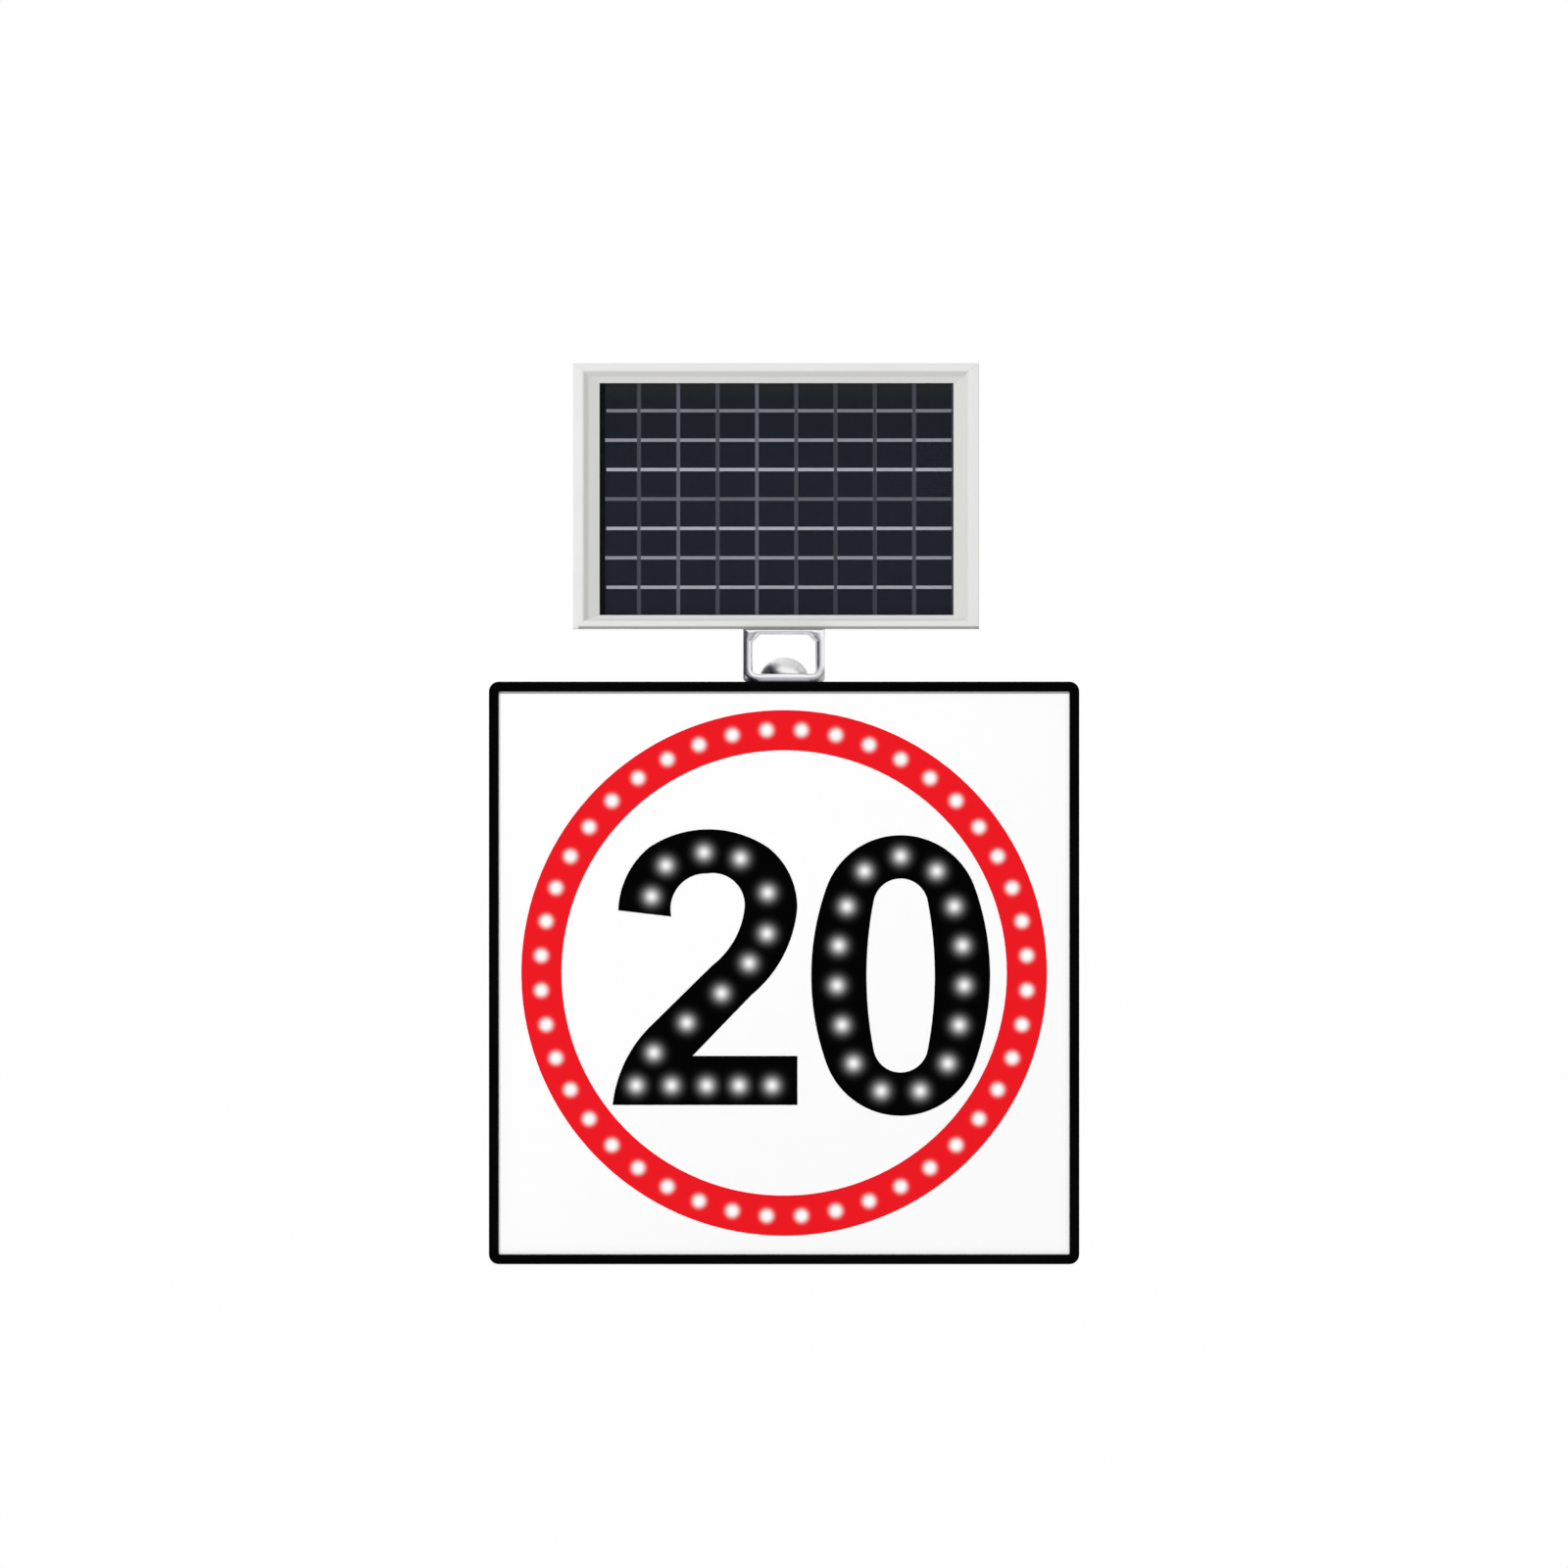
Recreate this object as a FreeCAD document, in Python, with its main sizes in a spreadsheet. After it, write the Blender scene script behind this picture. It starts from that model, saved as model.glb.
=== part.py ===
import FreeCAD, Part
import math
import os

from FreeCAD import Placement, Rotation, Vector

# Solar speed limit sign: a black edged square box with a white face, a red ring and the figures 2 and 0
# lit by white lamps, and a solar panel that swivels on a rounded loop bracket above it.
# Millimetres. X to the right, Z up, the face looks along -Y. The origin is the middle of the underside.

# Name, value in millimetres (or a count, where the name says so) and meaning of each driving dimension
SIZES = (
    ("sign_width", 600, "width of the housing"),
    ("sign_height", 592, "height of the housing"),
    ("housing_depth", 60, "depth of the housing from lip to rear flange"),
    ("sheet_thickness", 2, "folded sheet of the housing"),
    ("corner_radius", 10, "outer corners of the housing"),
    ("lip_width", 10, "black border round the face"),
    ("flange_width", 20, "rear flange of the housing"),
    ("face_thickness", 2, "white face plate"),
    ("face_clearance", 1, "gap between face plate and housing wall"),
    ("film_thickness", 0.4, "red and black films on the face"),
    ("ring_margin", 19, "between the red ring and the border"),
    ("ring_band", 40.7, "width of the red ring"),
    ("ring_lamp_inset", 19.6, "circle of the ring lamps, in from the outside of the ring"),
    ("ring_lamp_count", 44, "lamps in the ring"),
    ("figure_height", 280, "height of the figure 2"),
    ("zero_centre", 118.4, "middle of the figure 0, right of the middle of the face"),
    ("zero_drop", 2.6, "middle of the figure 0, under the middle of the face"),
    ("zero_half_width", 90.8, "figure 0, outside"),
    ("zero_half_height", 142.5, "figure 0, outside"),
    ("zero_end_radius", 80, "top and bottom of the figure 0, outside"),
    ("zero_hole_half_width", 34.8, "figure 0, inside"),
    ("zero_hole_half_height", 98.6, "figure 0, inside"),
    ("zero_hole_end_radius", 28, "top and bottom of the figure 0, inside"),
    ("zero_lamp_half_width", 64.8, "path of the lamps in the figure 0"),
    ("zero_lamp_half_height", 121.2, "path of the lamps in the figure 0"),
    ("zero_lamp_end_radius", 52, "path of the lamps in the figure 0"),
    ("lamp_radius", 7.5, "lamp lens at its foot"),
    ("lamp_top_radius", 4.6, "lamp lens at its top"),
    ("lamp_height", 2, "lamp lens"),
    ("board_thickness", 1.6, "lamp boards behind the face"),
    ("ring_board_length", 122, "one board of the ring"),
    ("ring_board_width", 28, "one board of the ring"),
    ("figure_board_margin", 8, "board past the outermost lamps of a figure"),
    ("gasket_width", 6, "gasket on the rear flange"),
    ("gasket_thickness", 1.5, "gasket on the rear flange"),
    ("cover_thickness", 2, "rear cover"),
    ("cover_margin", 4, "rear cover inside the housing outline"),
    ("screw_inset", 11, "cover screws in from the housing outline"),
    ("screw_spread", 210, "cover screws from the middle of the edges along a side"),
    ("screw_radius", 2.5, "cover screws"),
    ("screw_head_radius", 5.2, "cover screws"),
    ("screw_head_height", 3.5, "cover screws"),
    ("screw_length", 12, "cover screws under the head"),
    ("screw_clearance", 0.15, "hole past a screw or bolt, on the radius"),
    ("rail_length", 460, "mounting rail across the back"),
    ("rail_height", 40, "mounting rail"),
    ("rail_depth", 20, "mounting rail"),
    ("rail_wall", 2.5, "mounting rail"),
    ("rail_slot", 20, "open slot of the mounting rail"),
    ("rail_spacing", 296, "between the middles of the two rails"),
    ("rail_bolts_apart", 360, "between the bolts of one rail"),
    ("bolt_radius", 4, "rail and clamp bolts"),
    ("bolt_head_radius", 7.5, "rail and clamp bolts, across corners"),
    ("bolt_head_height", 5, "rail and clamp bolts"),
    ("nut_height", 6.5, "rail and clamp nuts"),
    ("pole_radius", 30.25, "bore of the pole clamps, for a 60.3 mm pole"),
    ("clamp_wall", 5, "pole clamp round the bore"),
    ("clamp_gap", 6, "between the two halves of a pole clamp"),
    ("clamp_height", 40, "pole clamp along the pole"),
    ("ear_reach", 56, "pole clamp ears from the middle"),
    ("ear_thickness", 6, "pole clamp ears"),
    ("ear_bolt_reach", 46, "pole clamp bolts from the middle"),
    ("saddle_foot", 40, "width of the saddle on the rail"),
    ("battery_length", 160, "battery on the floor of the housing"),
    ("battery_depth", 44, "battery on the floor of the housing"),
    ("battery_height", 90, "battery on the floor of the housing"),
    ("terminal_side", 8, "terminals of the battery"),
    ("strap_width", 20, "strap over the battery"),
    ("strap_thickness", 1.5, "strap over the battery"),
    ("strap_foot", 25, "feet of the battery strap"),
    ("controller_length", 120, "charge controller on the rear cover"),
    ("controller_height", 80, "charge controller on the rear cover"),
    ("controller_depth", 26, "charge controller on the rear cover"),
    ("controller_level", 230, "underside of the charge controller"),
    ("driver_length", 110, "lamp driver board"),
    ("driver_height", 70, "lamp driver board"),
    ("standoff_length", 10, "posts of the lamp driver board"),
    ("standoff_radius", 3.5, "posts of the lamp driver board"),
    ("stiffener_width", 140, "plate under the top of the housing"),
    ("stiffener_depth", 46, "plate under the top of the housing"),
    ("stiffener_thickness", 4, "plate under the top of the housing"),
    ("pivot_radius", 10, "shank of the pivot bolt"),
    ("pivot_clearance", 0.15, "bracket hole past the shank, on the radius"),
    ("pivot_reach", 30, "shank of the pivot bolt below the housing top"),
    ("dome_radius", 23, "head of the pivot bolt"),
    ("dome_height", 15, "head of the pivot bolt"),
    ("washer_side", 38, "square washer under the stiffener"),
    ("washer_thickness", 3, "square washer under the stiffener"),
    ("pivot_nut_radius", 17.3, "nut of the pivot bolt, across corners"),
    ("pivot_nut_height", 14, "nut of the pivot bolt"),
    ("bracket_width", 83, "loop bracket"),
    ("bracket_height", 53.8, "loop bracket"),
    ("bracket_depth", 50, "loop bracket, front to back"),
    ("bracket_side", 9.3, "side walls of the loop"),
    ("bracket_foot", 9.5, "lower bar of the loop"),
    ("bracket_top", 5.6, "upper bar of the loop"),
    ("bracket_corner", 15, "lower outer corners of the loop's front"),
    ("bracket_back_corner", 4, "lower outer corners of the loop behind its front"),
    ("bracket_front_depth", 6, "front of the loop that has the round corners"),
    ("bracket_inner_corner", 5, "lower inner corners of the loop"),
    ("bracket_gusset", 8, "slanted upper inner corners of the loop"),
    ("bracket_bevel", 4, "bevel round the front of the loop"),
    ("bracket_back_bevel", 1.5, "bevel round the back of the loop"),
    ("bracket_screw_spacing", 44, "between the screws from the panel frame into the loop"),
    ("bracket_screw_radius", 3, "screws from the panel frame into the loop"),
    ("bracket_screw_back", 5, "screws into the panel, behind the middle of the loop"),
    ("bracket_screw_head", 5, "heads of these screws, across corners"),
    ("bracket_screw_head_height", 4, "heads of these screws"),
    ("panel_width", 413, "solar panel"),
    ("panel_height", 270, "solar panel"),
    ("panel_depth", 25, "solar panel frame"),
    ("panel_shift", 8.2, "middle of the panel left of the middle of the sign"),
    ("rail_left", 27, "left side of the panel frame, seen from the front"),
    ("rail_right", 26, "right side of the panel frame"),
    ("rail_top", 20, "top of the panel frame"),
    ("rail_bottom", 14, "bottom of the panel frame"),
    ("glass_recess", 6, "glass behind the rim of the frame"),
    ("glass_thickness", 3.2, "glass"),
    ("ribbon_thickness", 0.2, "ribbons on the cells"),
    ("cell_thickness", 0.3, "cells"),
    ("sheet_back_thickness", 0.3, "back sheet"),
    ("cell_columns", 9, "columns of cells"),
    ("cell_rows", 4, "rows of cells"),
    ("cell_gap", 3, "between cells"),
    ("ribbon_width", 3, "ribbons on the cells"),
    ("junction_width", 90, "junction box on the back sheet"),
    ("junction_height", 60, "junction box on the back sheet"),
    ("junction_depth", 12, "junction box on the back sheet"),
    ("junction_lid", 2, "lid of the junction box"),
    ("gland_radius", 9, "cable glands"),
    ("gland_bore", 3.5, "cable glands"),
    ("gland_hex", 13, "cable glands, across corners"),
    ("gland_length", 18, "cable glands"),
    ("small_gland_radius", 4.5, "cable gland of the junction box"),
    ("small_gland_bore", 2.8, "cable gland of the junction box"),
    ("small_hex_height", 4, "cable gland of the junction box"),
    ("gland_hex_height", 5, "cable gland of the housing"),
    ("gland_stub", 8, "cable gland of the housing, inside the cover"),
    ("locknut_height", 4, "locknut of the housing gland"),
    ("frame_step_depth", 2.6, "steep step of the panel frame, behind the rim"),
    ("frame_lip", 0.6, "edge of the panel frame over the glass"),
    ("frame_seat", 2, "wall of the panel frame behind the laminate"),
    ("frame_flange", 2, "rear flange of the panel frame"),
    ("bolt_end", 2.5, "rail and clamp bolts past their nuts"),
    ("saddle_shoulder", 2, "foot of the saddle's slope past the wall of the bore"),
    ("tongue_play", 0.5, "tongue of the saddle in the slot of the rail"),
    ("tongue_hook", 3.5, "tongue of the saddle behind the lips of the rail"),
    ("tongue_thickness", 3, "tongue of the saddle"),
    ("case_edge", 3, "clipped upright edges of the battery"),
    ("terminal_inset", 2, "terminals in from the back of the battery"),
    ("inner_edge", 20, "controller and driver board from the middle of the cover"),
    ("controller_edge", 4, "clipped edges of the charge controller"),
    ("block_inset", 10, "terminal block in from the ends of the controller"),
    ("block_depth", 14, "terminal block of the controller"),
    ("block_height", 16, "terminal block of the controller"),
    ("post_inset", 8, "posts in from the edges of the driver board"),
    ("junction_edge", 3, "clipped edges of the junction box"),
    ("lid_inset", 3, "lid in from the edges of the junction box"),
)

# Sides of the many-sided prisms that stand for small round pieces, which repeat
LAMP_SIDES = 12
BOLT_SIDES = 8
GLAND_SIDES = 12
PIVOT_SIDES = 24
LAMPS_PER_BOARD = 4
# Pivot bolt's head: height of its upright rim as a share of the head, and radii of the rings of its dome
DOME_RIM = 0.12
DOME_RINGS = (1.0, 0.82, 0.58, 0.30)
ZERO_LAMPS = 15

# The figure 2 at a height of 280, from the middle of the face: straight runs are lines, round stretches are
# arcs given by a point on the way and the end
TWO_START = (-174.2, -134.1)
TWO_OUTLINE = (
    ("arc", (-162.4, -91.8), (-133.5, -51.9)),
    ("line", (-72.8, 7.8)),
    ("arc", (-48.6, 37.1), (-40.0, 67.0)),
    ("arc", (-47.2, 89.4), (-78.0, 101.1)),
    ("arc", (-105.8, 89.7), (-114.6, 57.3)),
    ("line", (-168.5, 63.6)),
    ("arc", (-160.2, 98.0), (-137.5, 127.3)),
    ("arc", (-77.0, 145.9), (-16.0, 127.3)),
    ("arc", (6.4, 98.6), (13.3, 67.0)),
    ("arc", (3.0, 25.5), (-33.0, -22.1)),
    ("line", (-93.2, -84.4)),
    ("line", (13.4, -84.4)),
    ("line", (13.4, -134.1)),
    ("line", TWO_START),
)
TWO_HEIGHT = 280.0
TWO_LAMPS = (
    (-134.7, 77.6), (-120.0, 109.2), (-81.5, 122.4), (-44.3, 116.4), (-16.7, 81.5),
    (-17.5, 40.0), (-35.6, 9.9), (-63.6, -20.6), (-99.0, -50.6), (-132.4, -81.1),
    (-150.3, -114.4), (-114.4, -114.4), (-78.6, -114.4), (-45.8, -114.4), (-12.3, -114.4),
)

# Inner radius of the ring for which the sizes of the figures are given
DRAWN_RING_INNER = 226.3

# Section of the panel frame as shares of a side's width, in from the outer edge. The shares meet at the
# mitres although the four sides differ in width.
RIM, STEP, LIP_END, REBATE, SEAT_END, WALL, FLANGE = 0.30, 0.48, 1.0, 0.78, 0.95, 0.09, 0.65
GLASS_EDGE = 0.80

# Housing gland, from the middle of the cover, as shares of the rails' length and spacing
GLAND_ACROSS, GLAND_UP = 0.26, 0.78
# Gland of the junction box: its hexagon and stem as shares of its radius
SMALL_GLAND_HEX, SMALL_GLAND_STEM = 1.15, 0.9
# Terminals from the middle of the battery, as a share of its length
TERMINAL_SHARE = 0.36
# Middle of the junction box under the top of the panel, as a share of the panel's height
JUNCTION_DROP = 0.3


doc = FreeCAD.newDocument("speed_limit_sign")
sheet = doc.addObject("Spreadsheet::Sheet", "sizes")
for row, (cell_name, cell_value, meaning) in enumerate(SIZES, start=1):
    sheet.set(f"A{row}", meaning)
    sheet.set(f"B{row}", f"{cell_value:g}")
    sheet.setAlias(f"B{row}", cell_name)
doc.recompute()


class Size:
    """A length that carries its value and the sheet formula it comes from."""

    def __init__(self, value, formula):
        self.value = float(value)
        self.formula = formula

    def __float__(self):
        return self.value

    def __neg__(self):
        return Size(-self.value, f"(-1 * {self.formula})")

    def __add__(self, other):
        other = as_size(other)
        return Size(self.value + other.value, f"({self.formula} + {other.formula})")

    def __sub__(self, other):
        return self + -as_size(other)

    def __mul__(self, other):
        other = as_size(other)
        return Size(self.value * other.value, f"({self.formula} * {other.formula})")

    def __truediv__(self, other):
        other = as_size(other)
        return Size(self.value / other.value, f"({self.formula} / {other.formula})")

    def __radd__(self, other):
        return as_size(other) + self

    def __rsub__(self, other):
        return as_size(other) - self

    def __rmul__(self, other):
        return self * other


def as_size(number):
    return number if isinstance(number, Size) else Size(number, f"{number:.10g}")


def size(name):
    return Size(sheet.get(name), f"sizes.{name}")


def count(name):
    return int(round(sheet.get(name)))


def bind(made, prop, length):
    """Ties a property of a document object to the sheet."""
    made.setExpression(prop, as_size(length).formula)


def line(start, end):
    return Part.LineSegment(Vector(*map(float, start), 0), Vector(*map(float, end), 0))


def arc(start, middle, end):
    points = [Vector(float(p[0]), float(p[1]), 0) for p in (start, middle, end)]
    return Part.Arc(*points)


def closed(points):
    return [line(a, b) for a, b in zip(points, list(points[1:]) + [points[0]])]


def circle(centre, radius):
    return [Part.Circle(Vector(float(centre[0]), float(centre[1]), 0), Vector(0, 0, 1), float(radius))]


def polygon(centre, radius, sides, turn=0.5):
    """A regular polygon whose corners lie on the circle; turn is in steps of one side."""
    step = 2 * math.pi / sides
    return closed([
        (float(centre[0]) + float(radius) * math.cos(step * (i + turn)),
         float(centre[1]) + float(radius) * math.sin(step * (i + turn)))
        for i in range(sides)
    ])


def bore(centre, radius, sides):
    """A many-sided hole whose flats touch the circle, so that a round or inscribed shank clears it."""
    return polygon(centre, float(radius) / math.cos(math.pi / sides), sides)


def rectangle(left, right, low, high):
    return closed([(left, low), (right, low), (right, high), (left, high)])


def centred(half_width, half_height, clip=0):
    """A rectangle about the middle, with clipped corners if asked for."""
    a, b, c = float(half_width), float(half_height), float(clip)
    if not c:
        return rectangle(-a, a, -b, b)
    return closed([
        (c - a, -b), (a - c, -b), (a, c - b), (a, b - c), (a - c, b), (c - a, b), (-a, b - c), (-a, c - b),
    ])


def rounded(half_width, half_height, radius):
    """A rectangle about the middle with round corners."""
    a, b, r = float(half_width), float(half_height), float(radius)
    k = r * (1 - math.sqrt(0.5))
    return [
        line((r - a, -b), (a - r, -b)),
        arc((a - r, -b), (a - k, k - b), (a, r - b)),
        line((a, r - b), (a, b - r)),
        arc((a, b - r), (a - k, b - k), (a - r, b)),
        line((a - r, b), (r - a, b)),
        arc((r - a, b), (k - a, b - k), (-a, b - r)),
        line((-a, b - r), (-a, r - b)),
        arc((-a, r - b), (k - a, k - b), (r - a, -b)),
    ]


def oval(centre, half_width, half_height, end_radius):
    """Four tangent arcs: tight ones at the top and bottom, flat ones at the sides."""
    x, z = float(centre[0]), float(centre[1])
    a, b, tight = float(half_width), float(half_height), float(end_radius)
    flat = (a * a + (b - tight) ** 2 - tight * tight) / (2 * (a - tight))
    reach = math.atan2(b - tight, flat - a)
    dx, dz = tight * math.cos(reach), b - tight + tight * math.sin(reach)
    return [
        arc((x + dx, z + dz), (x, z + b), (x - dx, z + dz)),
        arc((x - dx, z + dz), (x - a, z), (x - dx, z - dz)),
        arc((x - dx, z - dz), (x, z - b), (x + dx, z - dz)),
        arc((x + dx, z - dz), (x + a, z), (x + dx, z + dz)),
    ]


# How each origin plane lies: the sign that its normal has along the axis it crosses
NORMAL = {"XY": 1, "XZ": -1, "YZ": 1}


def body(label):
    made = doc.addObject("PartDesign::Body", label)
    made.Label = label
    made.AllowCompound = True
    return made


def sketch(owner, name, plane, at, geometry, centre=(0, 0)):
    """A sketch of closed loops parallel to an origin plane, at a place along that plane's axis."""
    made = owner.newObject("Sketcher::SketchObject", f"{owner.Name}_{name}")
    role = f"{plane}_Plane"
    made.AttachmentSupport = [(next(f for f in owner.Origin.OriginFeatures if f.Role == role), "")]
    made.MapMode = "FlatFace"
    bind(made, "AttachmentOffset.Base.x", centre[0])
    bind(made, "AttachmentOffset.Base.y", centre[1])
    bind(made, "AttachmentOffset.Base.z", as_size(at) * NORMAL[plane])
    made.addGeometry(geometry, False)
    return made


def pad(owner, name, plane, start, length, geometry, centre=(0, 0), towards=1):
    """Adds a prism from start, towards the positive or negative end of the axis."""
    profile = sketch(owner, f"{name}_sketch", plane, start, geometry, centre)
    made = owner.newObject("PartDesign::Pad", f"{owner.Name}_{name}")
    made.Profile = profile
    bind(made, "Length", length)
    made.Reversed = NORMAL[plane] != towards
    owner.Tip = made
    return made


def pocket(owner, name, plane, start, length, geometry, centre=(0, 0), towards=1):
    """Cuts a prism from start and makes sure that it took something away."""
    doc.recompute()
    before = owner.Shape.Volume
    profile = sketch(owner, f"{name}_sketch", plane, start, geometry, centre)
    made = owner.newObject("PartDesign::Pocket", f"{owner.Name}_{name}")
    made.Profile = profile
    bind(made, "Length", length)
    made.Reversed = NORMAL[plane] == towards
    owner.Tip = made
    doc.recompute()
    if not owner.Shape.Volume < before:
        raise RuntimeError(f"{made.Name} cuts nothing")
    return made


def bevel(owner, name, length, chosen):
    """Chamfers the edges of the newest feature that the test picks out."""
    doc.recompute()
    base = owner.Tip
    edges = [f"Edge{i}" for i, edge in enumerate(base.Shape.Edges, start=1) if chosen(edge)]
    made = owner.newObject("PartDesign::Chamfer", f"{owner.Name}_{name}")
    made.Base = (base, edges)
    bind(made, "Size", length)
    owner.Tip = made
    return made


def block(label, low, spans):
    """A box from its low corner and its three spans."""
    made = doc.addObject("Part::Box", label)
    made.Label = label
    for prop, span in zip(("Length", "Width", "Height"), spans):
        bind(made, prop, span)
    for axis, place in zip("xyz", low):
        bind(made, f"Placement.Base.{axis}", place)
    return made


def solids(label, shapes):
    """A group of like solids, set as one shape."""
    made = doc.addObject("Part::Feature", label)
    made.Label = label
    made.Shape = Part.makeCompound(shapes)
    return made


# Levels and planes that several pieces share
middle = size("sign_height") / 2
lip_front = -size("housing_depth") / 2
face_front = lip_front + size("sheet_thickness")
face_back = face_front + size("face_thickness")
film_front = face_front - size("film_thickness")
flange_back = size("housing_depth") / 2
cover_front = flange_back + size("gasket_thickness")
cover_back = cover_front + size("cover_thickness")
rail_back = cover_back + size("rail_depth")
rail_levels = [middle - size("rail_spacing") / 2, middle + size("rail_spacing") / 2]
half_width = size("sign_width") / 2
half_height = size("sign_height") / 2
lesser_half = min(half_width, half_height, key=float)
ring_outer = lesser_half - size("lip_width") - size("ring_margin")
ring_inner = ring_outer - size("ring_band")
lamp_circle = ring_outer - size("ring_lamp_inset")
face_scale = ring_inner / DRAWN_RING_INNER
two_scale = float(size("figure_height") * face_scale / TWO_HEIGHT)


def cover_screw_places():
    """Two screws on each edge of the cover."""
    a = float(half_width - size("screw_inset"))
    b = float(half_height - size("screw_inset"))
    share = float(size("screw_spread")) / float(size("sign_width"))
    return [(i * a, 2 * j * b * share) for i in (-1, 1) for j in (-1, 1)] + [
        (2 * i * a * share, j * b) for i in (-1, 1) for j in (-1, 1)
    ]


def rail_bolt_places():
    across = float(size("rail_bolts_apart") / 2)
    up = float(size("rail_spacing") / 2)
    return [(i * across, j * up) for i in (-1, 1) for j in (-1, 1)]


def gland_place():
    """The housing's cable gland, from the middle of the rear cover."""
    return (float(size("rail_length")) * GLAND_ACROSS, float(size("rail_spacing")) * GLAND_UP)


def make_housing_shell():
    made = body("housing_shell")
    sheet_wall = size("sheet_thickness")
    pad(made, "block", "XZ", flange_back, size("housing_depth"),
        rounded(half_width, half_height, size("corner_radius")), (0, middle), -1)
    pocket(made, "cavity", "XZ", face_front, size("housing_depth") - 2 * sheet_wall,
           rounded(half_width - sheet_wall, half_height - sheet_wall, size("corner_radius") - sheet_wall),
           (0, middle))
    pocket(made, "front_opening", "XZ", lip_front, sheet_wall,
           centred(half_width - size("lip_width"), half_height - size("lip_width")), (0, middle))
    flange = size("flange_width")
    holes = []
    for place in cover_screw_places():
        holes += bore(place, size("screw_radius") + size("screw_clearance"), BOLT_SIDES)
    opening = centred(half_width - flange, half_height - flange)
    pocket(made, "rear_opening", "XZ", flange_back - sheet_wall, sheet_wall, opening + holes, (0, middle))
    pocket(made, "pivot_hole", "XY", size("sign_height") - sheet_wall, sheet_wall,
           bore((0, 0), size("pivot_radius") + size("screw_clearance"), PIVOT_SIDES))


def make_face_plate():
    made = body("face_plate")
    inset = size("sheet_thickness") + size("face_clearance")
    pad(made, "plate", "XZ", face_back, size("face_thickness"),
        centred(half_width - inset, half_height - inset, size("corner_radius") / 2), (0, middle), -1)


def make_film(label, geometry):
    made = body(label)
    pad(made, "film", "XZ", face_front, size("film_thickness"), geometry, (0, middle), -1)


def two_outline():
    here, made = TWO_START, []
    for kind, *points in TWO_OUTLINE:
        if kind == "line":
            made.append(line(scaled(here), scaled(points[0])))
        else:
            made.append(arc(scaled(here), scaled(points[0]), scaled(points[1])))
        here = points[-1]
    return made


def scaled(point):
    return (point[0] * two_scale, point[1] * two_scale)


def zero_centre():
    return (size("zero_centre") * face_scale, -size("zero_drop") * face_scale)


def zero_sizes(part):
    """Half width, half height and end radius of one of the figure's ovals."""
    return [size(f"{part}_{n}") * face_scale for n in ("half_width", "half_height", "end_radius")]


def zero_outline():
    return oval(zero_centre(), *zero_sizes("zero")) + oval(zero_centre(), *zero_sizes("zero_hole"))


def ring_lamp_places():
    """Evenly round the ring, half a step off the upright and level lines."""
    lamps, radius = count("ring_lamp_count"), float(lamp_circle)
    step = 2 * math.pi / lamps
    return [(radius * math.cos(step * (i + 0.5)), radius * math.sin(step * (i + 0.5))) for i in range(lamps)]


def zero_lamp_places():
    """Evenly along an oval in the middle of the figure's stroke, from the top."""
    path = oval(zero_centre(), *zero_sizes("zero_lamp"))
    top, left, low, right = path
    start = top.parameterAtDistance(top.length() / 2, top.FirstParameter)
    pieces = [
        top.toShape().Curve.toShape(start, top.LastParameter),
        left.toShape(), low.toShape(), right.toShape(),
        top.toShape().Curve.toShape(top.FirstParameter, start),
    ]
    points = Part.Wire(pieces).discretize(ZERO_LAMPS + 1)
    return [(p.x, p.y) for p in points[:ZERO_LAMPS]]


def turned(profile, sides):
    """A many-sided body of revolution about Z through points given as (radius, level), bottom to top."""
    step = 2 * math.pi / sides
    rings = [
        [Vector(r * math.cos(step * i), r * math.sin(step * i), z) for i in range(sides)] for r, z in profile
    ]
    faces = [Part.Face(Part.makePolygon(ring + ring[:1])) for ring in (rings[0], rings[-1])]
    for low, high in zip(rings, rings[1:]):
        if all(abs(a.z - b.z) < 1e-9 for a, b in zip(low, high)):
            faces.append(flat_ring(low, high))
            continue
        for i in range(sides):
            j = (i + 1) % sides
            faces.append(Part.Face(Part.makePolygon([low[i], low[j], high[j], high[i], low[i]])))
    made = Part.Solid(Part.Shell(faces))
    if made.Volume < 0:
        made.reverse()
    return made


def flat_ring(one, other):
    """The level face between two rings of points, whichever is wider."""
    inner, outer = sorted((Part.makePolygon(ring + ring[:1]) for ring in (one, other)), key=lambda w: w.Length)
    return Part.Face(outer).cut(Part.Face(inner)).Faces[0]


def make_lamps(label, places):
    """Lamps with their feet on the film."""
    foot, top, rise = (float(size(n)) for n in ("lamp_radius", "lamp_top_radius", "lamp_height"))
    one = turned([(foot, 0), (top, rise)], LAMP_SIDES)
    forward = Rotation(Vector(1, 0, 0), 90)
    shapes = []
    for x, z in places:
        shape = one.copy()
        shape.Placement = Placement(Vector(x, float(film_front), z + float(middle)), forward)
        shapes.append(shape)
    solids(label, shapes)


def make_ring_boards():
    """Straight boards on the back of the face, each behind four lamps of the ring."""
    made = body("ring_lamp_boards")
    boards = count("ring_lamp_count") // LAMPS_PER_BOARD
    sag = math.cos(math.pi * (LAMPS_PER_BOARD - 1) / count("ring_lamp_count"))
    reach = float(lamp_circle) * (1 + sag) / 2
    across, along = (float(size(f"ring_board_{n}") * face_scale) / 2 for n in ("width", "length"))
    outlines = []
    for i in range(boards):
        turn = 2 * math.pi * (i + 0.5) / boards
        out, side = (math.cos(turn), math.sin(turn)), (-math.sin(turn), math.cos(turn))
        outlines += closed([
            (out[0] * (reach + a) + side[0] * b, out[1] * (reach + a) + side[1] * b)
            for a, b in ((-across, -along), (across, -along), (across, along), (-across, along))
        ])
    pad(made, "boards", "XZ", face_back + size("board_thickness"), size("board_thickness"),
        outlines, (0, middle), -1)


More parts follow.
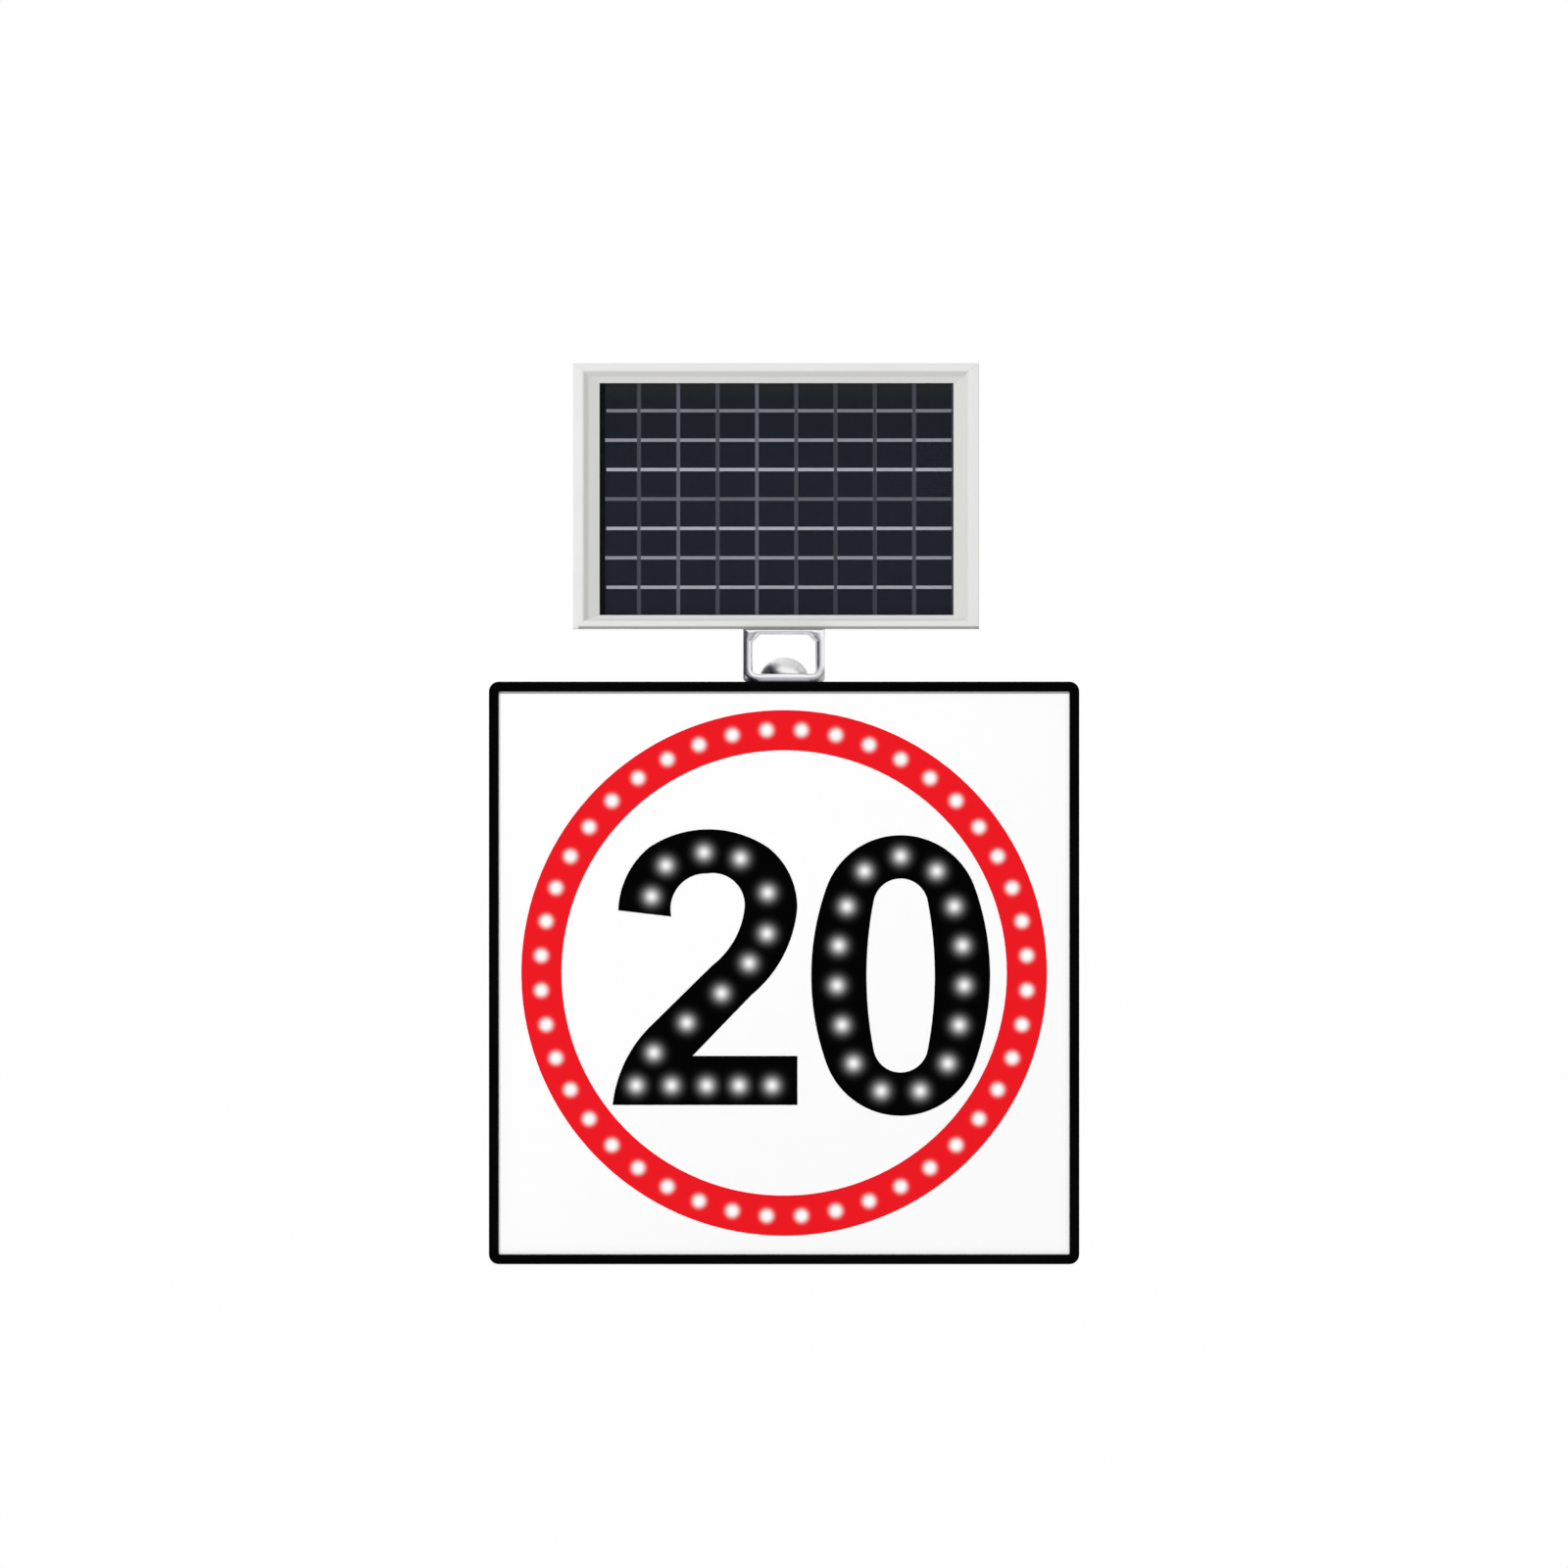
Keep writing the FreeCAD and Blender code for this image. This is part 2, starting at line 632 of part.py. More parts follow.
def make_figure_board(label, places):
    made = body(label)
    margin = float(size("figure_board_margin"))
    across, up = [p[0] for p in places], [p[1] for p in places]
    pad(made, "board", "XZ", face_back + size("board_thickness"), size("board_thickness"),
        rectangle(min(across) - margin, max(across) + margin, min(up) - margin, max(up) + margin),
        (0, middle), -1)


def make_rear():
    """Gasket, cover and cover screws."""
    flange = size("flange_width")
    gasket = body("rear_gasket")
    outer = flange - size("gasket_width")
    pad(gasket, "ring", "XZ", flange_back, size("gasket_thickness"),
        centred(half_width - outer, half_height - outer) + centred(half_width - flange, half_height - flange),
        (0, middle))
    cover = body("rear_cover")
    margin = size("cover_margin")
    outline = centred(half_width - margin, half_height - margin, margin)
    for place in cover_screw_places():
        outline += bore(place, size("screw_radius") + size("screw_clearance"), BOLT_SIDES)
    for place in rail_bolt_places():
        outline += bore(place, size("bolt_radius") + size("screw_clearance"), BOLT_SIDES)
    outline += bore(gland_place(), size("gland_radius") + size("screw_clearance"), GLAND_SIDES)
    pad(cover, "plate", "XZ", cover_front, size("cover_thickness"), outline, (0, middle))
    screws = body("cover_screws")
    heads, shanks = [], []
    for place in cover_screw_places():
        heads += polygon(place, size("screw_head_radius"), 6)
        shanks += polygon(place, size("screw_radius"), BOLT_SIDES)
    pad(screws, "heads", "XZ", cover_back, size("screw_head_height"), heads, (0, middle))
    pad(screws, "shanks", "XZ", cover_back, size("screw_length"), shanks, (0, middle), -1)


def make_mounting_rails():
    """Two channels across the back with their slots open to the rear, bolted through the cover."""
    wall, reach, slot = size("rail_wall"), size("rail_height") / 2, size("rail_slot") / 2
    front, back = float(cover_back), float(rail_back)
    w, r, g = float(wall), float(reach), float(slot)
    section = [
        (front, -r), (back, -r), (back, -g), (back - w, -g), (back - w, w - r), (front + w, w - r),
        (front + w, r - w), (back - w, r - w), (back - w, g), (back, g), (back, r), (front, r),
    ]
    hole = size("bolt_radius") + size("screw_clearance")
    across = size("rail_bolts_apart") / 2
    for label, level in zip(("lower_rail", "upper_rail"), rail_levels):
        made = body(label)
        pad(made, "channel", "YZ", -size("rail_length") / 2, size("rail_length"), closed(section), (0, level))
        holes = bore((-across, 0), hole, BOLT_SIDES) + bore((across, 0), hole, BOLT_SIDES)
        pocket(made, "bolt_holes", "XZ", cover_back, wall, holes, (0, level))
    seat = cover_back + wall
    bolts = body("rail_bolts")
    nuts = body("rail_nuts")
    heads, shanks, rings = [], [], []
    for place in rail_bolt_places():
        heads += polygon(place, size("bolt_head_radius"), 6)
        shanks += polygon(place, size("bolt_radius"), BOLT_SIDES)
        rings += polygon(place, size("bolt_head_radius"), 6) + bore(place, hole, BOLT_SIDES)
    pad(bolts, "heads", "XZ", seat, size("bolt_head_height"), heads, (0, middle))
    grip = wall + size("cover_thickness") + size("nut_height") + size("bolt_end")
    pad(bolts, "shanks", "XZ", seat, grip, shanks, (0, middle), -1)
    pad(nuts, "rings", "XZ", cover_front, size("nut_height"), rings, (0, middle), -1)


def clamp_sizes():
    """Pole middle and the two parting faces of a clamp, along Y."""
    pole = rail_back + size("clamp_wall") + size("pole_radius")
    return pole, pole - size("clamp_gap") / 2, pole + size("clamp_gap") / 2


def make_saddle(label, level):
    """The half of a pole clamp that grips the rail by a tongue behind the slot's lips."""
    pole, parting, _ = clamp_sizes()
    y, edge, radius = float(pole), float(parting), float(size("pole_radius"))
    ear, thick = float(size("ear_reach")), float(size("ear_thickness"))
    foot, seat = float(size("saddle_foot")) / 2, float(rail_back)
    mouth = math.sqrt(radius ** 2 - (y - edge) ** 2)
    shoulder = mouth + float(size("clamp_wall")) + float(size("saddle_shoulder"))
    outline = [
        line((-ear, edge), (-ear, edge - thick)),
        line((-ear, edge - thick), (-shoulder, edge - thick)),
        line((-shoulder, edge - thick), (-foot, seat)),
        line((-foot, seat), (foot, seat)),
        line((foot, seat), (shoulder, edge - thick)),
        line((shoulder, edge - thick), (ear, edge - thick)),
        line((ear, edge - thick), (ear, edge)),
        line((ear, edge), (mouth, edge)),
        arc((mouth, edge), (0, y - radius), (-mouth, edge)),
        line((-mouth, edge), (-ear, edge)),
    ]
    made = body(label)
    height = size("clamp_height")
    pad(made, "cradle", "XY", level - height / 2, height, outline)
    lip, gap = float(size("rail_wall")), float(size("rail_slot")) / 2
    neck, head = gap - float(size("tongue_play")), gap + float(size("tongue_hook"))
    end = seat - lip - float(size("tongue_thickness"))
    tongue = closed([
        (seat, -neck), (seat, neck), (seat - lip, neck), (seat - lip, head),
        (end, head), (end, -head), (seat - lip, -head), (seat - lip, -neck),
    ])
    pad(made, "tongue", "YZ", -size("saddle_foot") / 2, size("saddle_foot"), tongue, (0, level))
    cut_ear_holes(made, level)


def cut_ear_holes(made, level):
    hole = size("bolt_radius") + size("screw_clearance")
    reach = size("ear_bolt_reach")
    holes = bore((-reach, 0), hole, BOLT_SIDES) + bore((reach, 0), hole, BOLT_SIDES)
    start = clamp_sizes()[1] - size("ear_thickness")
    pocket(made, "bolt_holes", "XZ", start, 2 * size("ear_thickness") + size("clamp_gap"), holes, (0, level))


def make_strap(label, level):
    """The outer half of a pole clamp."""
    pole, _, parting = clamp_sizes()
    y, edge, radius = float(pole), float(parting), float(size("pole_radius"))
    ear, thick = float(size("ear_reach")), float(size("ear_thickness"))
    outer = radius + float(size("clamp_wall"))
    mouth = math.sqrt(radius ** 2 - (edge - y) ** 2)
    shoulder = math.sqrt(outer ** 2 - (edge + thick - y) ** 2)
    outline = [
        line((-ear, edge), (-mouth, edge)),
        arc((-mouth, edge), (0, y + radius), (mouth, edge)),
        line((mouth, edge), (ear, edge)),
        line((ear, edge), (ear, edge + thick)),
        line((ear, edge + thick), (shoulder, edge + thick)),
        arc((shoulder, edge + thick), (0, y + outer), (-shoulder, edge + thick)),
        line((-shoulder, edge + thick), (-ear, edge + thick)),
        line((-ear, edge + thick), (-ear, edge)),
    ]
    made = body(label)
    pad(made, "cap", "XY", level - size("clamp_height") / 2, size("clamp_height"), outline)
    cut_ear_holes(made, level)


def make_clamp_bolts():
    reach, up = float(size("ear_bolt_reach")), float(size("rail_spacing") / 2)
    places = [(i * reach, j * up) for i in (-1, 1) for j in (-1, 1)]
    _, inner, outer = clamp_sizes()
    front, back = inner - size("ear_thickness"), outer + size("ear_thickness")
    bolts, nuts = body("clamp_bolts"), body("clamp_nuts")
    heads, shanks, rings = [], [], []
    for place in places:
        heads += polygon(place, size("bolt_head_radius"), 6)
        shanks += polygon(place, size("bolt_radius"), BOLT_SIDES)
        rings += polygon(place, size("bolt_head_radius"), 6)
        rings += bore(place, size("bolt_radius") + size("screw_clearance"), BOLT_SIDES)
    pad(bolts, "heads", "XZ", front, size("bolt_head_height"), heads, (0, middle), -1)
    grip = back - front + size("nut_height") + size("bolt_end")
    pad(bolts, "shanks", "XZ", front, grip, shanks, (0, middle))
    pad(nuts, "rings", "XZ", back, size("nut_height"), rings, (0, middle))


def make_battery():
    """Battery on the floor of the housing, with two terminals and a strap screwed to the floor."""
    floor = size("sheet_thickness")
    long, deep, high = size("battery_length"), size("battery_depth"), size("battery_height")
    pack = body("battery_pack")
    pad(pack, "case", "XY", floor, high, rectangle(-long / 2, long / 2, -deep / 2, deep / 2))
    bevel(pack, "edges", size("case_edge"), is_upright)
    terminals = body("battery_terminals")
    outlines = []
    lug, edge = size("terminal_side").value, float(deep) / 2 - float(size("terminal_inset"))
    for side in (-1, 1):
        across = side * float(long) * TERMINAL_SHARE
        outlines += rectangle(across - lug / 2, across + lug / 2, edge - lug, edge)
    pad(terminals, "lugs", "XY", floor + high, lug, outlines)
    strap = body("battery_strap")
    t, half, foot = size("strap_thickness").value, float(long) / 2, size("strap_foot").value
    low, top = float(floor), float(floor + high)
    pad(strap, "band", "XZ", -size("strap_width") / 2, size("strap_width"), closed([
        (-half - t - foot, low), (-half, low), (-half, top), (half, top), (half, low),
        (half + t + foot, low), (half + t + foot, low + t), (half + t, low + t), (half + t, top + t),
        (-half - t, top + t), (-half - t, low + t), (-half - t - foot, low + t),
    ]))


def is_upright(edge):
    first, last = edge.Vertexes[0].Point, edge.Vertexes[-1].Point
    return math.hypot(first.x - last.x, first.y - last.y) < 1e-6 < abs(first.z - last.z)


def make_electronics():
    """Charge controller and lamp driver board on the inside of the rear cover."""
    long, high, deep = size("controller_length"), size("controller_height"), size("controller_depth")
    inner, inset, end = size("inner_edge"), size("post_inset"), size("block_inset")
    block_deep, block_high = size("block_depth"), size("block_height")
    left, level = -long - inner, size("controller_level")
    case = body("charge_controller")
    pad(case, "case", "XZ", cover_front, deep,
        rectangle(left, left + long, level, level + high), (0, 0), -1)
    bevel(case, "edges", size("controller_edge"), lambda edge: lies_at(edge, float(cover_front - deep)))
    block("controller_terminals", (left + end, cover_front - block_deep, level - block_high),
          (long - 2 * end, block_deep, block_high))
    wide, tall = size("driver_length"), size("driver_height")
    post, width = size("standoff_length"), size("board_thickness")
    block("lamp_driver_board", (inner, cover_front - post - width, level), (wide, width, tall))
    posts = body("driver_posts")
    outlines = []
    for across in (inner + inset, inner + wide - inset):
        for up in (level + inset, level + tall - inset):
            outlines += polygon((across, up), size("standoff_radius"), 6)
    pad(posts, "posts", "XZ", cover_front, post, outlines, (0, 0), -1)


def lies_at(edge, y):
    return all(abs(vertex.Point.y - y) < 1e-6 for vertex in edge.Vertexes)


def ring_round(inner, outer):
    return circle((0, 0), inner) + circle((0, 0), outer)


def make_pivot():
    """Dome headed bolt through the bracket's foot and the housing top, with stiffener, washer and nut."""
    top, wall = size("sign_height"), size("sheet_thickness")
    under = top - wall
    wide, deep, thick = (size(f"stiffener_{n}") for n in ("width", "depth", "thickness"))
    hole = bore((0, 0), size("pivot_radius") + size("screw_clearance"), PIVOT_SIDES)
    plate = body("top_stiffener")
    pad(plate, "plate", "XY", under, thick, centred(wide / 2, deep / 2) + hole, (0, 0), -1)
    washer = body("pivot_washer")
    side = size("washer_side") / 2
    pad(washer, "plate", "XY", under - thick, size("washer_thickness"), centred(side, side) + hole, (0, 0), -1)
    nut = body("pivot_nut")
    nut_top = under - thick - size("washer_thickness")
    pad(nut, "ring", "XY", nut_top, size("pivot_nut_height"),
        polygon((0, 0), size("pivot_nut_radius"), 6) + hole, (0, 0), -1)
    seat, rise, reach = float(top + size("bracket_foot")), size("dome_height").value, size("dome_radius").value
    shank, low = size("pivot_radius").value, float(top - size("pivot_reach"))
    rim = rise * DOME_RIM
    sphere = (reach ** 2 + (rise - rim) ** 2) / (2 * (rise - rim))
    profile = [(shank, low), (shank, seat), (reach, seat)]
    for share in DOME_RINGS:
        profile.append((reach * share, seat + rise - sphere + math.sqrt(sphere ** 2 - (reach * share) ** 2)))
    solids("pivot_bolt", [turned(profile, PIVOT_SIDES)])


def make_bracket():
    """Cast loop between the housing and the panel: round lower corners, gussets inside the upper ones."""
    low = size("sign_height")
    high = low + size("bracket_height")
    half, depth = size("bracket_width") / 2, size("bracket_depth")
    z0, z1 = float(low), float(high)
    b, s = float(half - size("bracket_side")), size("bracket_inner_corner").value
    g = size("bracket_gusset").value
    f, t = float(low + size("bracket_foot")), float(high - size("bracket_top"))
    n = s * (1 - math.sqrt(0.5))
    inner = [
        line((s - b, f), (b - s, f)), arc((b - s, f), (b - n, f + n), (b, f + s)),
        line((b, f + s), (b, t - g)), line((b, t - g), (b - g, t)), line((b - g, t), (g - b, t)),
        line((g - b, t), (-b, t - g)), line((-b, t - g), (-b, f + s)),
        arc((-b, f + s), (n - b, f + n), (s - b, f)),
    ]
    made = body("bracket_loop")
    pad(made, "front", "XZ", -depth / 2, size("bracket_front_depth"),
        loop_outline(float(half), z0, z1, size("bracket_corner").value) + inner, (0, 0))
    pad(made, "loop", "XZ", size("bracket_front_depth") - depth / 2, depth - size("bracket_front_depth"),
        loop_outline(float(half), z0, z1, size("bracket_back_corner").value) + inner, (0, 0))
    for name, end in (("bracket_bevel", -depth / 2), ("bracket_back_bevel", depth / 2)):
        bevel(made, name, size(name),
              lambda edge, y=float(end): lies_at(edge, y) and not lies_level(edge, z1))
    pocket(made, "pivot_hole", "XY", low, size("bracket_foot"),
           bore((0, 0), size("pivot_radius") + size("pivot_clearance"), PIVOT_SIDES))
    pocket(made, "screw_holes", "XY", high - size("bracket_top"), size("bracket_top"),
           bracket_screw_outlines(size("screw_clearance"), bore))
    screws = body("bracket_screws")
    wall = size("rail_bottom") * WALL
    pad(screws, "shanks", "XY", high - size("bracket_top"), size("bracket_top") + wall,
        bracket_screw_outlines(0, polygon))
    heads = []
    for place in bracket_screw_places():
        heads += polygon(place, size("bracket_screw_head"), 6)
    pad(screws, "heads", "XY", high + wall, size("bracket_screw_head_height"), heads)


def loop_outline(a, z0, z1, r):
    """Outer outline of the loop: square at the top, round at the lower corners."""
    k = r * (1 - math.sqrt(0.5))
    return [
        line((r - a, z0), (a - r, z0)), arc((a - r, z0), (a - k, z0 + k), (a, z0 + r)),
        line((a, z0 + r), (a, z1)), line((a, z1), (-a, z1)), line((-a, z1), (-a, z0 + r)),
        arc((-a, z0 + r), (k - a, z0 + k), (r - a, z0)),
    ]


def bracket_screw_places():
    across, back = float(size("bracket_screw_spacing")) / 2, float(size("bracket_screw_back"))
    return [(-across, back), (across, back)]


def bracket_screw_outlines(clearance, shape):
    made = []
    for place in bracket_screw_places():
        made += shape(place, size("bracket_screw_radius") + clearance, BOLT_SIDES)
    return made


def lies_level(edge, z):
    return all(abs(vertex.Point.z - z) < 1e-6 for vertex in edge.Vertexes)


def frame_section():
    """Closed section of the panel frame as (share of the side's width, place along Y)."""
    rim = -float(size("panel_depth")) / 2
    back = -rim
    glass = rim + float(size("glass_recess"))
    layers = sum(float(size(n)) for n in
                 ("glass_thickness", "ribbon_thickness", "cell_thickness", "sheet_back_thickness"))
    seat, lip, flange = glass + layers, glass - float(size("frame_lip")), float(size("frame_flange"))
    behind = seat + float(size("frame_seat"))
    return [
        (0, rim), (RIM, rim), (STEP, rim + float(size("frame_step_depth"))), (LIP_END, lip),
        (LIP_END, glass), (REBATE, glass),
        (REBATE, seat), (SEAT_END, seat), (SEAT_END, behind), (WALL, behind),
        (WALL, back - flange), (FLANGE, back - flange), (FLANGE, back), (0, back),
    ]


class PanelEdges:
    """Outer edges of the panel frame and the widths of its four sides."""

    def __init__(self):
        self.left = -size("panel_width") / 2 - size("panel_shift")
        self.right = self.left + size("panel_width")
        self.low = size("sign_height") + size("bracket_height")
        self.high = self.low + size("panel_height")
        self.sides = [size(f"rail_{n}") for n in ("left", "right", "bottom", "top")]

    def inset(self, share):
        """Left, right, low and high edges, in by a share of each side's width."""
        wl, wr, wb, wt = self.sides
        return (self.left + wl * share, self.right - wr * share, self.low + wb * share, self.high - wt * share)


def make_panel_frame(edges):
    """Four mitred sides of one section."""
    section = frame_section()
    x0, x1, z0, z1 = (float(edge) for edge in edges.inset(0))
    ix0, ix1, iz0, iz1 = (float(edge) for edge in edges.inset(1))
    depth = size("panel_depth")
    outer = {"left": x0, "right": x1, "bottom": z0, "top": z1}
    inner = {"left": ix0, "right": ix1, "bottom": iz0, "top": iz1}
    for name, start in outer.items():
        made = body(f"panel_frame_{name}")
        across = [(start + (inner[name] - start) * share, y) for share, y in section]
        if name in ("left", "right"):
            pad(made, "length", "XY", edges.low, size("panel_height"), closed(across))
            mitres = [closed([(start, z), (inner[name], iz), (inner[name], z)])
                      for z, iz in ((z0, iz0), (z1, iz1))]
        else:
            pad(made, "length", "YZ", edges.left, size("panel_width"), closed([(y, z) for z, y in across]))
            mitres = [closed([(x, start), (ix, inner[name]), (x, inner[name])])
                      for x, ix in ((x0, ix0), (x1, ix1))]
        pocket(made, "mitres", "XZ", -depth / 2, depth, mitres[0] + mitres[1])
        if name == "bottom":
            pocket(made, "screw_holes", "XY", edges.low, size("rail_bottom") * WALL,
                   bracket_screw_outlines(size("screw_clearance"), bore))


def make_laminate(edges):
    """Glass, ribbons, cells and back sheet, from the front to the back."""
    left, right, low, high = edges.inset(GLASS_EDGE)
    front = -size("panel_depth") / 2 + size("glass_recess")
    block("panel_glass", (left, front, low), (right - left, size("glass_thickness"), high - low))
    ribbons_front = front + size("glass_thickness")
    cells_front = ribbons_front + size("ribbon_thickness")
    sheet_front = cells_front + size("cell_thickness")
    x0, x1, z0, z1 = (float(edge) for edge in edges.inset(1))
    columns, rows = count("cell_columns"), count("cell_rows")
    wide, tall, gap = (x1 - x0) / columns, (z1 - z0) / rows, float(size("cell_gap")) / 2
    outlines, strips = [], []
    ribbon = float(size("ribbon_width")) / 2
    for j in range(rows):
        level = z0 + tall * (j + 0.5)
        strips += rectangle(x0 + gap, x1 - gap, level - ribbon, level + ribbon)
        for i in range(columns):
            outlines += rectangle(x0 + wide * i + gap, x0 + wide * (i + 1) - gap,
                                  z0 + tall * j + gap, z0 + tall * (j + 1) - gap)
    pad(body("panel_ribbons"), "strips", "XZ", cells_front, size("ribbon_thickness"), strips, (0, 0), -1)
    pad(body("panel_cells"), "cells", "XZ", sheet_front, size("cell_thickness"), outlines, (0, 0), -1)
    block("panel_back_sheet", (left, sheet_front, low),
          (right - left, size("sheet_back_thickness"), high - low))
    return sheet_front + size("sheet_back_thickness")


def make_junction_box(edges, seat):
    """Junction box on the back sheet with its lid, and a cable gland out of its underside."""
    wide, high, deep = (size(f"junction_{n}") for n in ("width", "height", "depth"))
    inset = size("lid_inset")
    left = (edges.left + edges.right) / 2 - wide / 2
    low = edges.high - JUNCTION_DROP * size("panel_height") - high / 2
    case = body("junction_box")
    pad(case, "case", "XZ", seat, deep, rectangle(left, left + wide, low, low + high))
    bevel(case, "edges", size("junction_edge"), runs_along_y)
    lid = size("junction_lid")
    block("junction_lid", (left + inset, seat + deep, low + inset),
          (wide - 2 * inset, lid, high - 2 * inset))
    x, y = float(left + wide / 2), float(seat + deep / 2)
    gland = body("junction_gland")
    radius, stem_end = size("small_gland_radius"), low - size("small_hex_height") - size("gland_length") / 2
    pad(gland, "hex", "XY", low, size("small_hex_height"),
        polygon((x, y), radius * SMALL_GLAND_HEX, 6), (0, 0), -1)
    pad(gland, "stem", "XY", low - size("small_hex_height"), size("gland_length") / 2,
        polygon((x, y), radius * SMALL_GLAND_STEM, GLAND_SIDES), (0, 0), -1)
    pocket(gland, "bore", "XY", stem_end, size("gland_length") / 2,
           bore((x, y), size("small_gland_bore"), BOLT_SIDES))


def runs_along_y(edge):
    first, last = edge.Vertexes[0].Point, edge.Vertexes[-1].Point
    return math.hypot(first.x - last.x, first.z - last.z) < 1e-6 < abs(first.y - last.y)


def make_housing_gland():
    """Cable gland through the rear cover: a hexagon, a stem and a stub through the cover."""
    place, hexagon, length = gland_place(), size("gland_hex"), size("gland_length")
    made = body("housing_gland")
    flats, stub = size("gland_hex_height"), size("cover_thickness") + size("gland_stub")
    pad(made, "hex", "XZ", cover_back, flats, polygon(place, hexagon, 6), (0, middle))
    stem = polygon(place, size("gland_radius"), GLAND_SIDES)
    pad(made, "stem", "XZ", cover_back + flats, length - flats, stem, (0, middle))
    pad(made, "stub", "XZ", cover_back, stub, stem, (0, middle), -1)
    pocket(made, "bore", "XZ", cover_back - stub, length + stub,
           bore(place, size("gland_bore"), BOLT_SIDES), (0, middle))
    ring = body("gland_locknut")
    pad(ring, "ring", "XZ", cover_front, size("locknut_height"),
        polygon(place, hexagon, 6) + bore(place, size("gland_radius") + size("screw_clearance"), GLAND_SIDES),
        (0, middle), -1)


two_lamps = [scaled(place) for place in TWO_LAMPS]
zero_lamps = zero_lamp_places()
make_housing_shell()
make_face_plate()
make_film("ring_film", ring_round(ring_inner, ring_outer))
make_film("figure_two_film", two_outline())
make_film("figure_zero_film", zero_outline())
make_lamps("ring_lamps", ring_lamp_places())
make_lamps("figure_two_lamps", two_lamps)
make_lamps("figure_zero_lamps", zero_lamps)
make_ring_boards()
make_figure_board("figure_two_board", two_lamps)
make_figure_board("figure_zero_board", zero_lamps)
make_rear()
make_mounting_rails()
for clamp, clamp_level in zip(("lower", "upper"), rail_levels):
    make_saddle(f"{clamp}_clamp_saddle", clamp_level)
    make_strap(f"{clamp}_clamp_strap", clamp_level)
make_clamp_bolts()
make_battery()
make_electronics()
make_housing_gland()
make_pivot()
make_bracket()
panel_edges = PanelEdges()
make_panel_frame(panel_edges)
make_junction_box(panel_edges, make_laminate(panel_edges))

doc.recompute()
failed = [o.Name for o in doc.Objects if "Invalid" in o.State or "Error" in o.State]
if failed:
    raise RuntimeError(f"failed: {failed}")
kinds = ("PartDesign::Body", "Part::Box", "Part::Feature")
nodes = [made for made in doc.Objects if made.TypeId in kinds]
for node in nodes:
    if node.Shape.isNull() or not node.Shape.isValid():
        raise RuntimeError(f"{node.Label} has no valid shape")
os.makedirs("parts", exist_ok=True)
for node in nodes:
    node.Shape.exportStep(f"parts/{node.Label}.step")
print(f"{len(nodes)} nodes written")
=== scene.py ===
"""Solar speed limit sign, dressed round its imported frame."""

import logging
import math
from collections.abc import Callable, Iterable, Sequence
from dataclasses import dataclass
from enum import Enum
from functools import reduce
from typing import Any

import bmesh
import bpy
import numpy as np
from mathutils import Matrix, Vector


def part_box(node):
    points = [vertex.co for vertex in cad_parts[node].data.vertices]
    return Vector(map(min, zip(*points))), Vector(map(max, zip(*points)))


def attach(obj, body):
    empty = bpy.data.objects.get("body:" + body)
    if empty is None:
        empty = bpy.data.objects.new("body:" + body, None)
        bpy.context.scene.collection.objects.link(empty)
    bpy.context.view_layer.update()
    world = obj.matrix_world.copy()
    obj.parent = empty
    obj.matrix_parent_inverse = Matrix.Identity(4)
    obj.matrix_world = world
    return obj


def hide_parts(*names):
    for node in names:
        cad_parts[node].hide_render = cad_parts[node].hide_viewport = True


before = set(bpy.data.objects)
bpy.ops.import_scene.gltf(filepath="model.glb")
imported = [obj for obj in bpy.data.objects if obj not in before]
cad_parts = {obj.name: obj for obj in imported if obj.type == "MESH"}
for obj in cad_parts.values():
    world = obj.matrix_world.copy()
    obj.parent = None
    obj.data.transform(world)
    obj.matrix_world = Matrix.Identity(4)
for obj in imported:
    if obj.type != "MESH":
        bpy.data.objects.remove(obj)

Array = np.ndarray
Colour = tuple[float, float, float]
Pair = tuple[float, float]
Triple = tuple[float, float, float]
Span = tuple[Array, Array]
Settings = dict[Any, Any]

LOG = logging.getLogger("speed_limit_sign")
MM = 0.001
MERGE = 1e-6
SHARP = 34.0
CELL_PITCH = 3.2 * MM
BLACK: Colour = (0.0, 0.0, 0.0)
WHITE: Colour = (1.0, 1.0, 1.0)


class Body(Enum):
    """The two bodies that the swivel joins."""

    HOUSING = "housing"
    PANEL = "panel_head"


class Slot(Enum):
    """Material slots of the record."""

    BLACK_PAINT = "black_paint"
    LAMP_LENS = "lamp_lens"
    ZINC = "zinc_steel"
    ALUMINIUM = "rail_aluminium"
    BATTERY = "battery_case"
    CONTROLLER = "controller_case"
    PLASTIC = "black_plastic"
    BRIGHT = "bright_bracket"
    FRAME = "panel_frame"
    CELL = "solar_cell"
    RIBBON = "ribbon"


# Shader maths


def math_method(operation: str, reflected: bool = False) -> Callable[..., "Number"]:
    """Makes a method that adds one Math node.

    Args:
        operation: Blender's name of the operation.
        reflected: Puts the method's own value last, as 1 - mask needs it.

    Returns:
        The method, which takes the operation's other values.
    """
    def method(self: "Number", *others: "Number | float") -> "Number":
        """The operation on this value and the others."""
        values = (*others, self) if reflected else (self, *others)
        return self.tree.math(operation, *values)

    return method


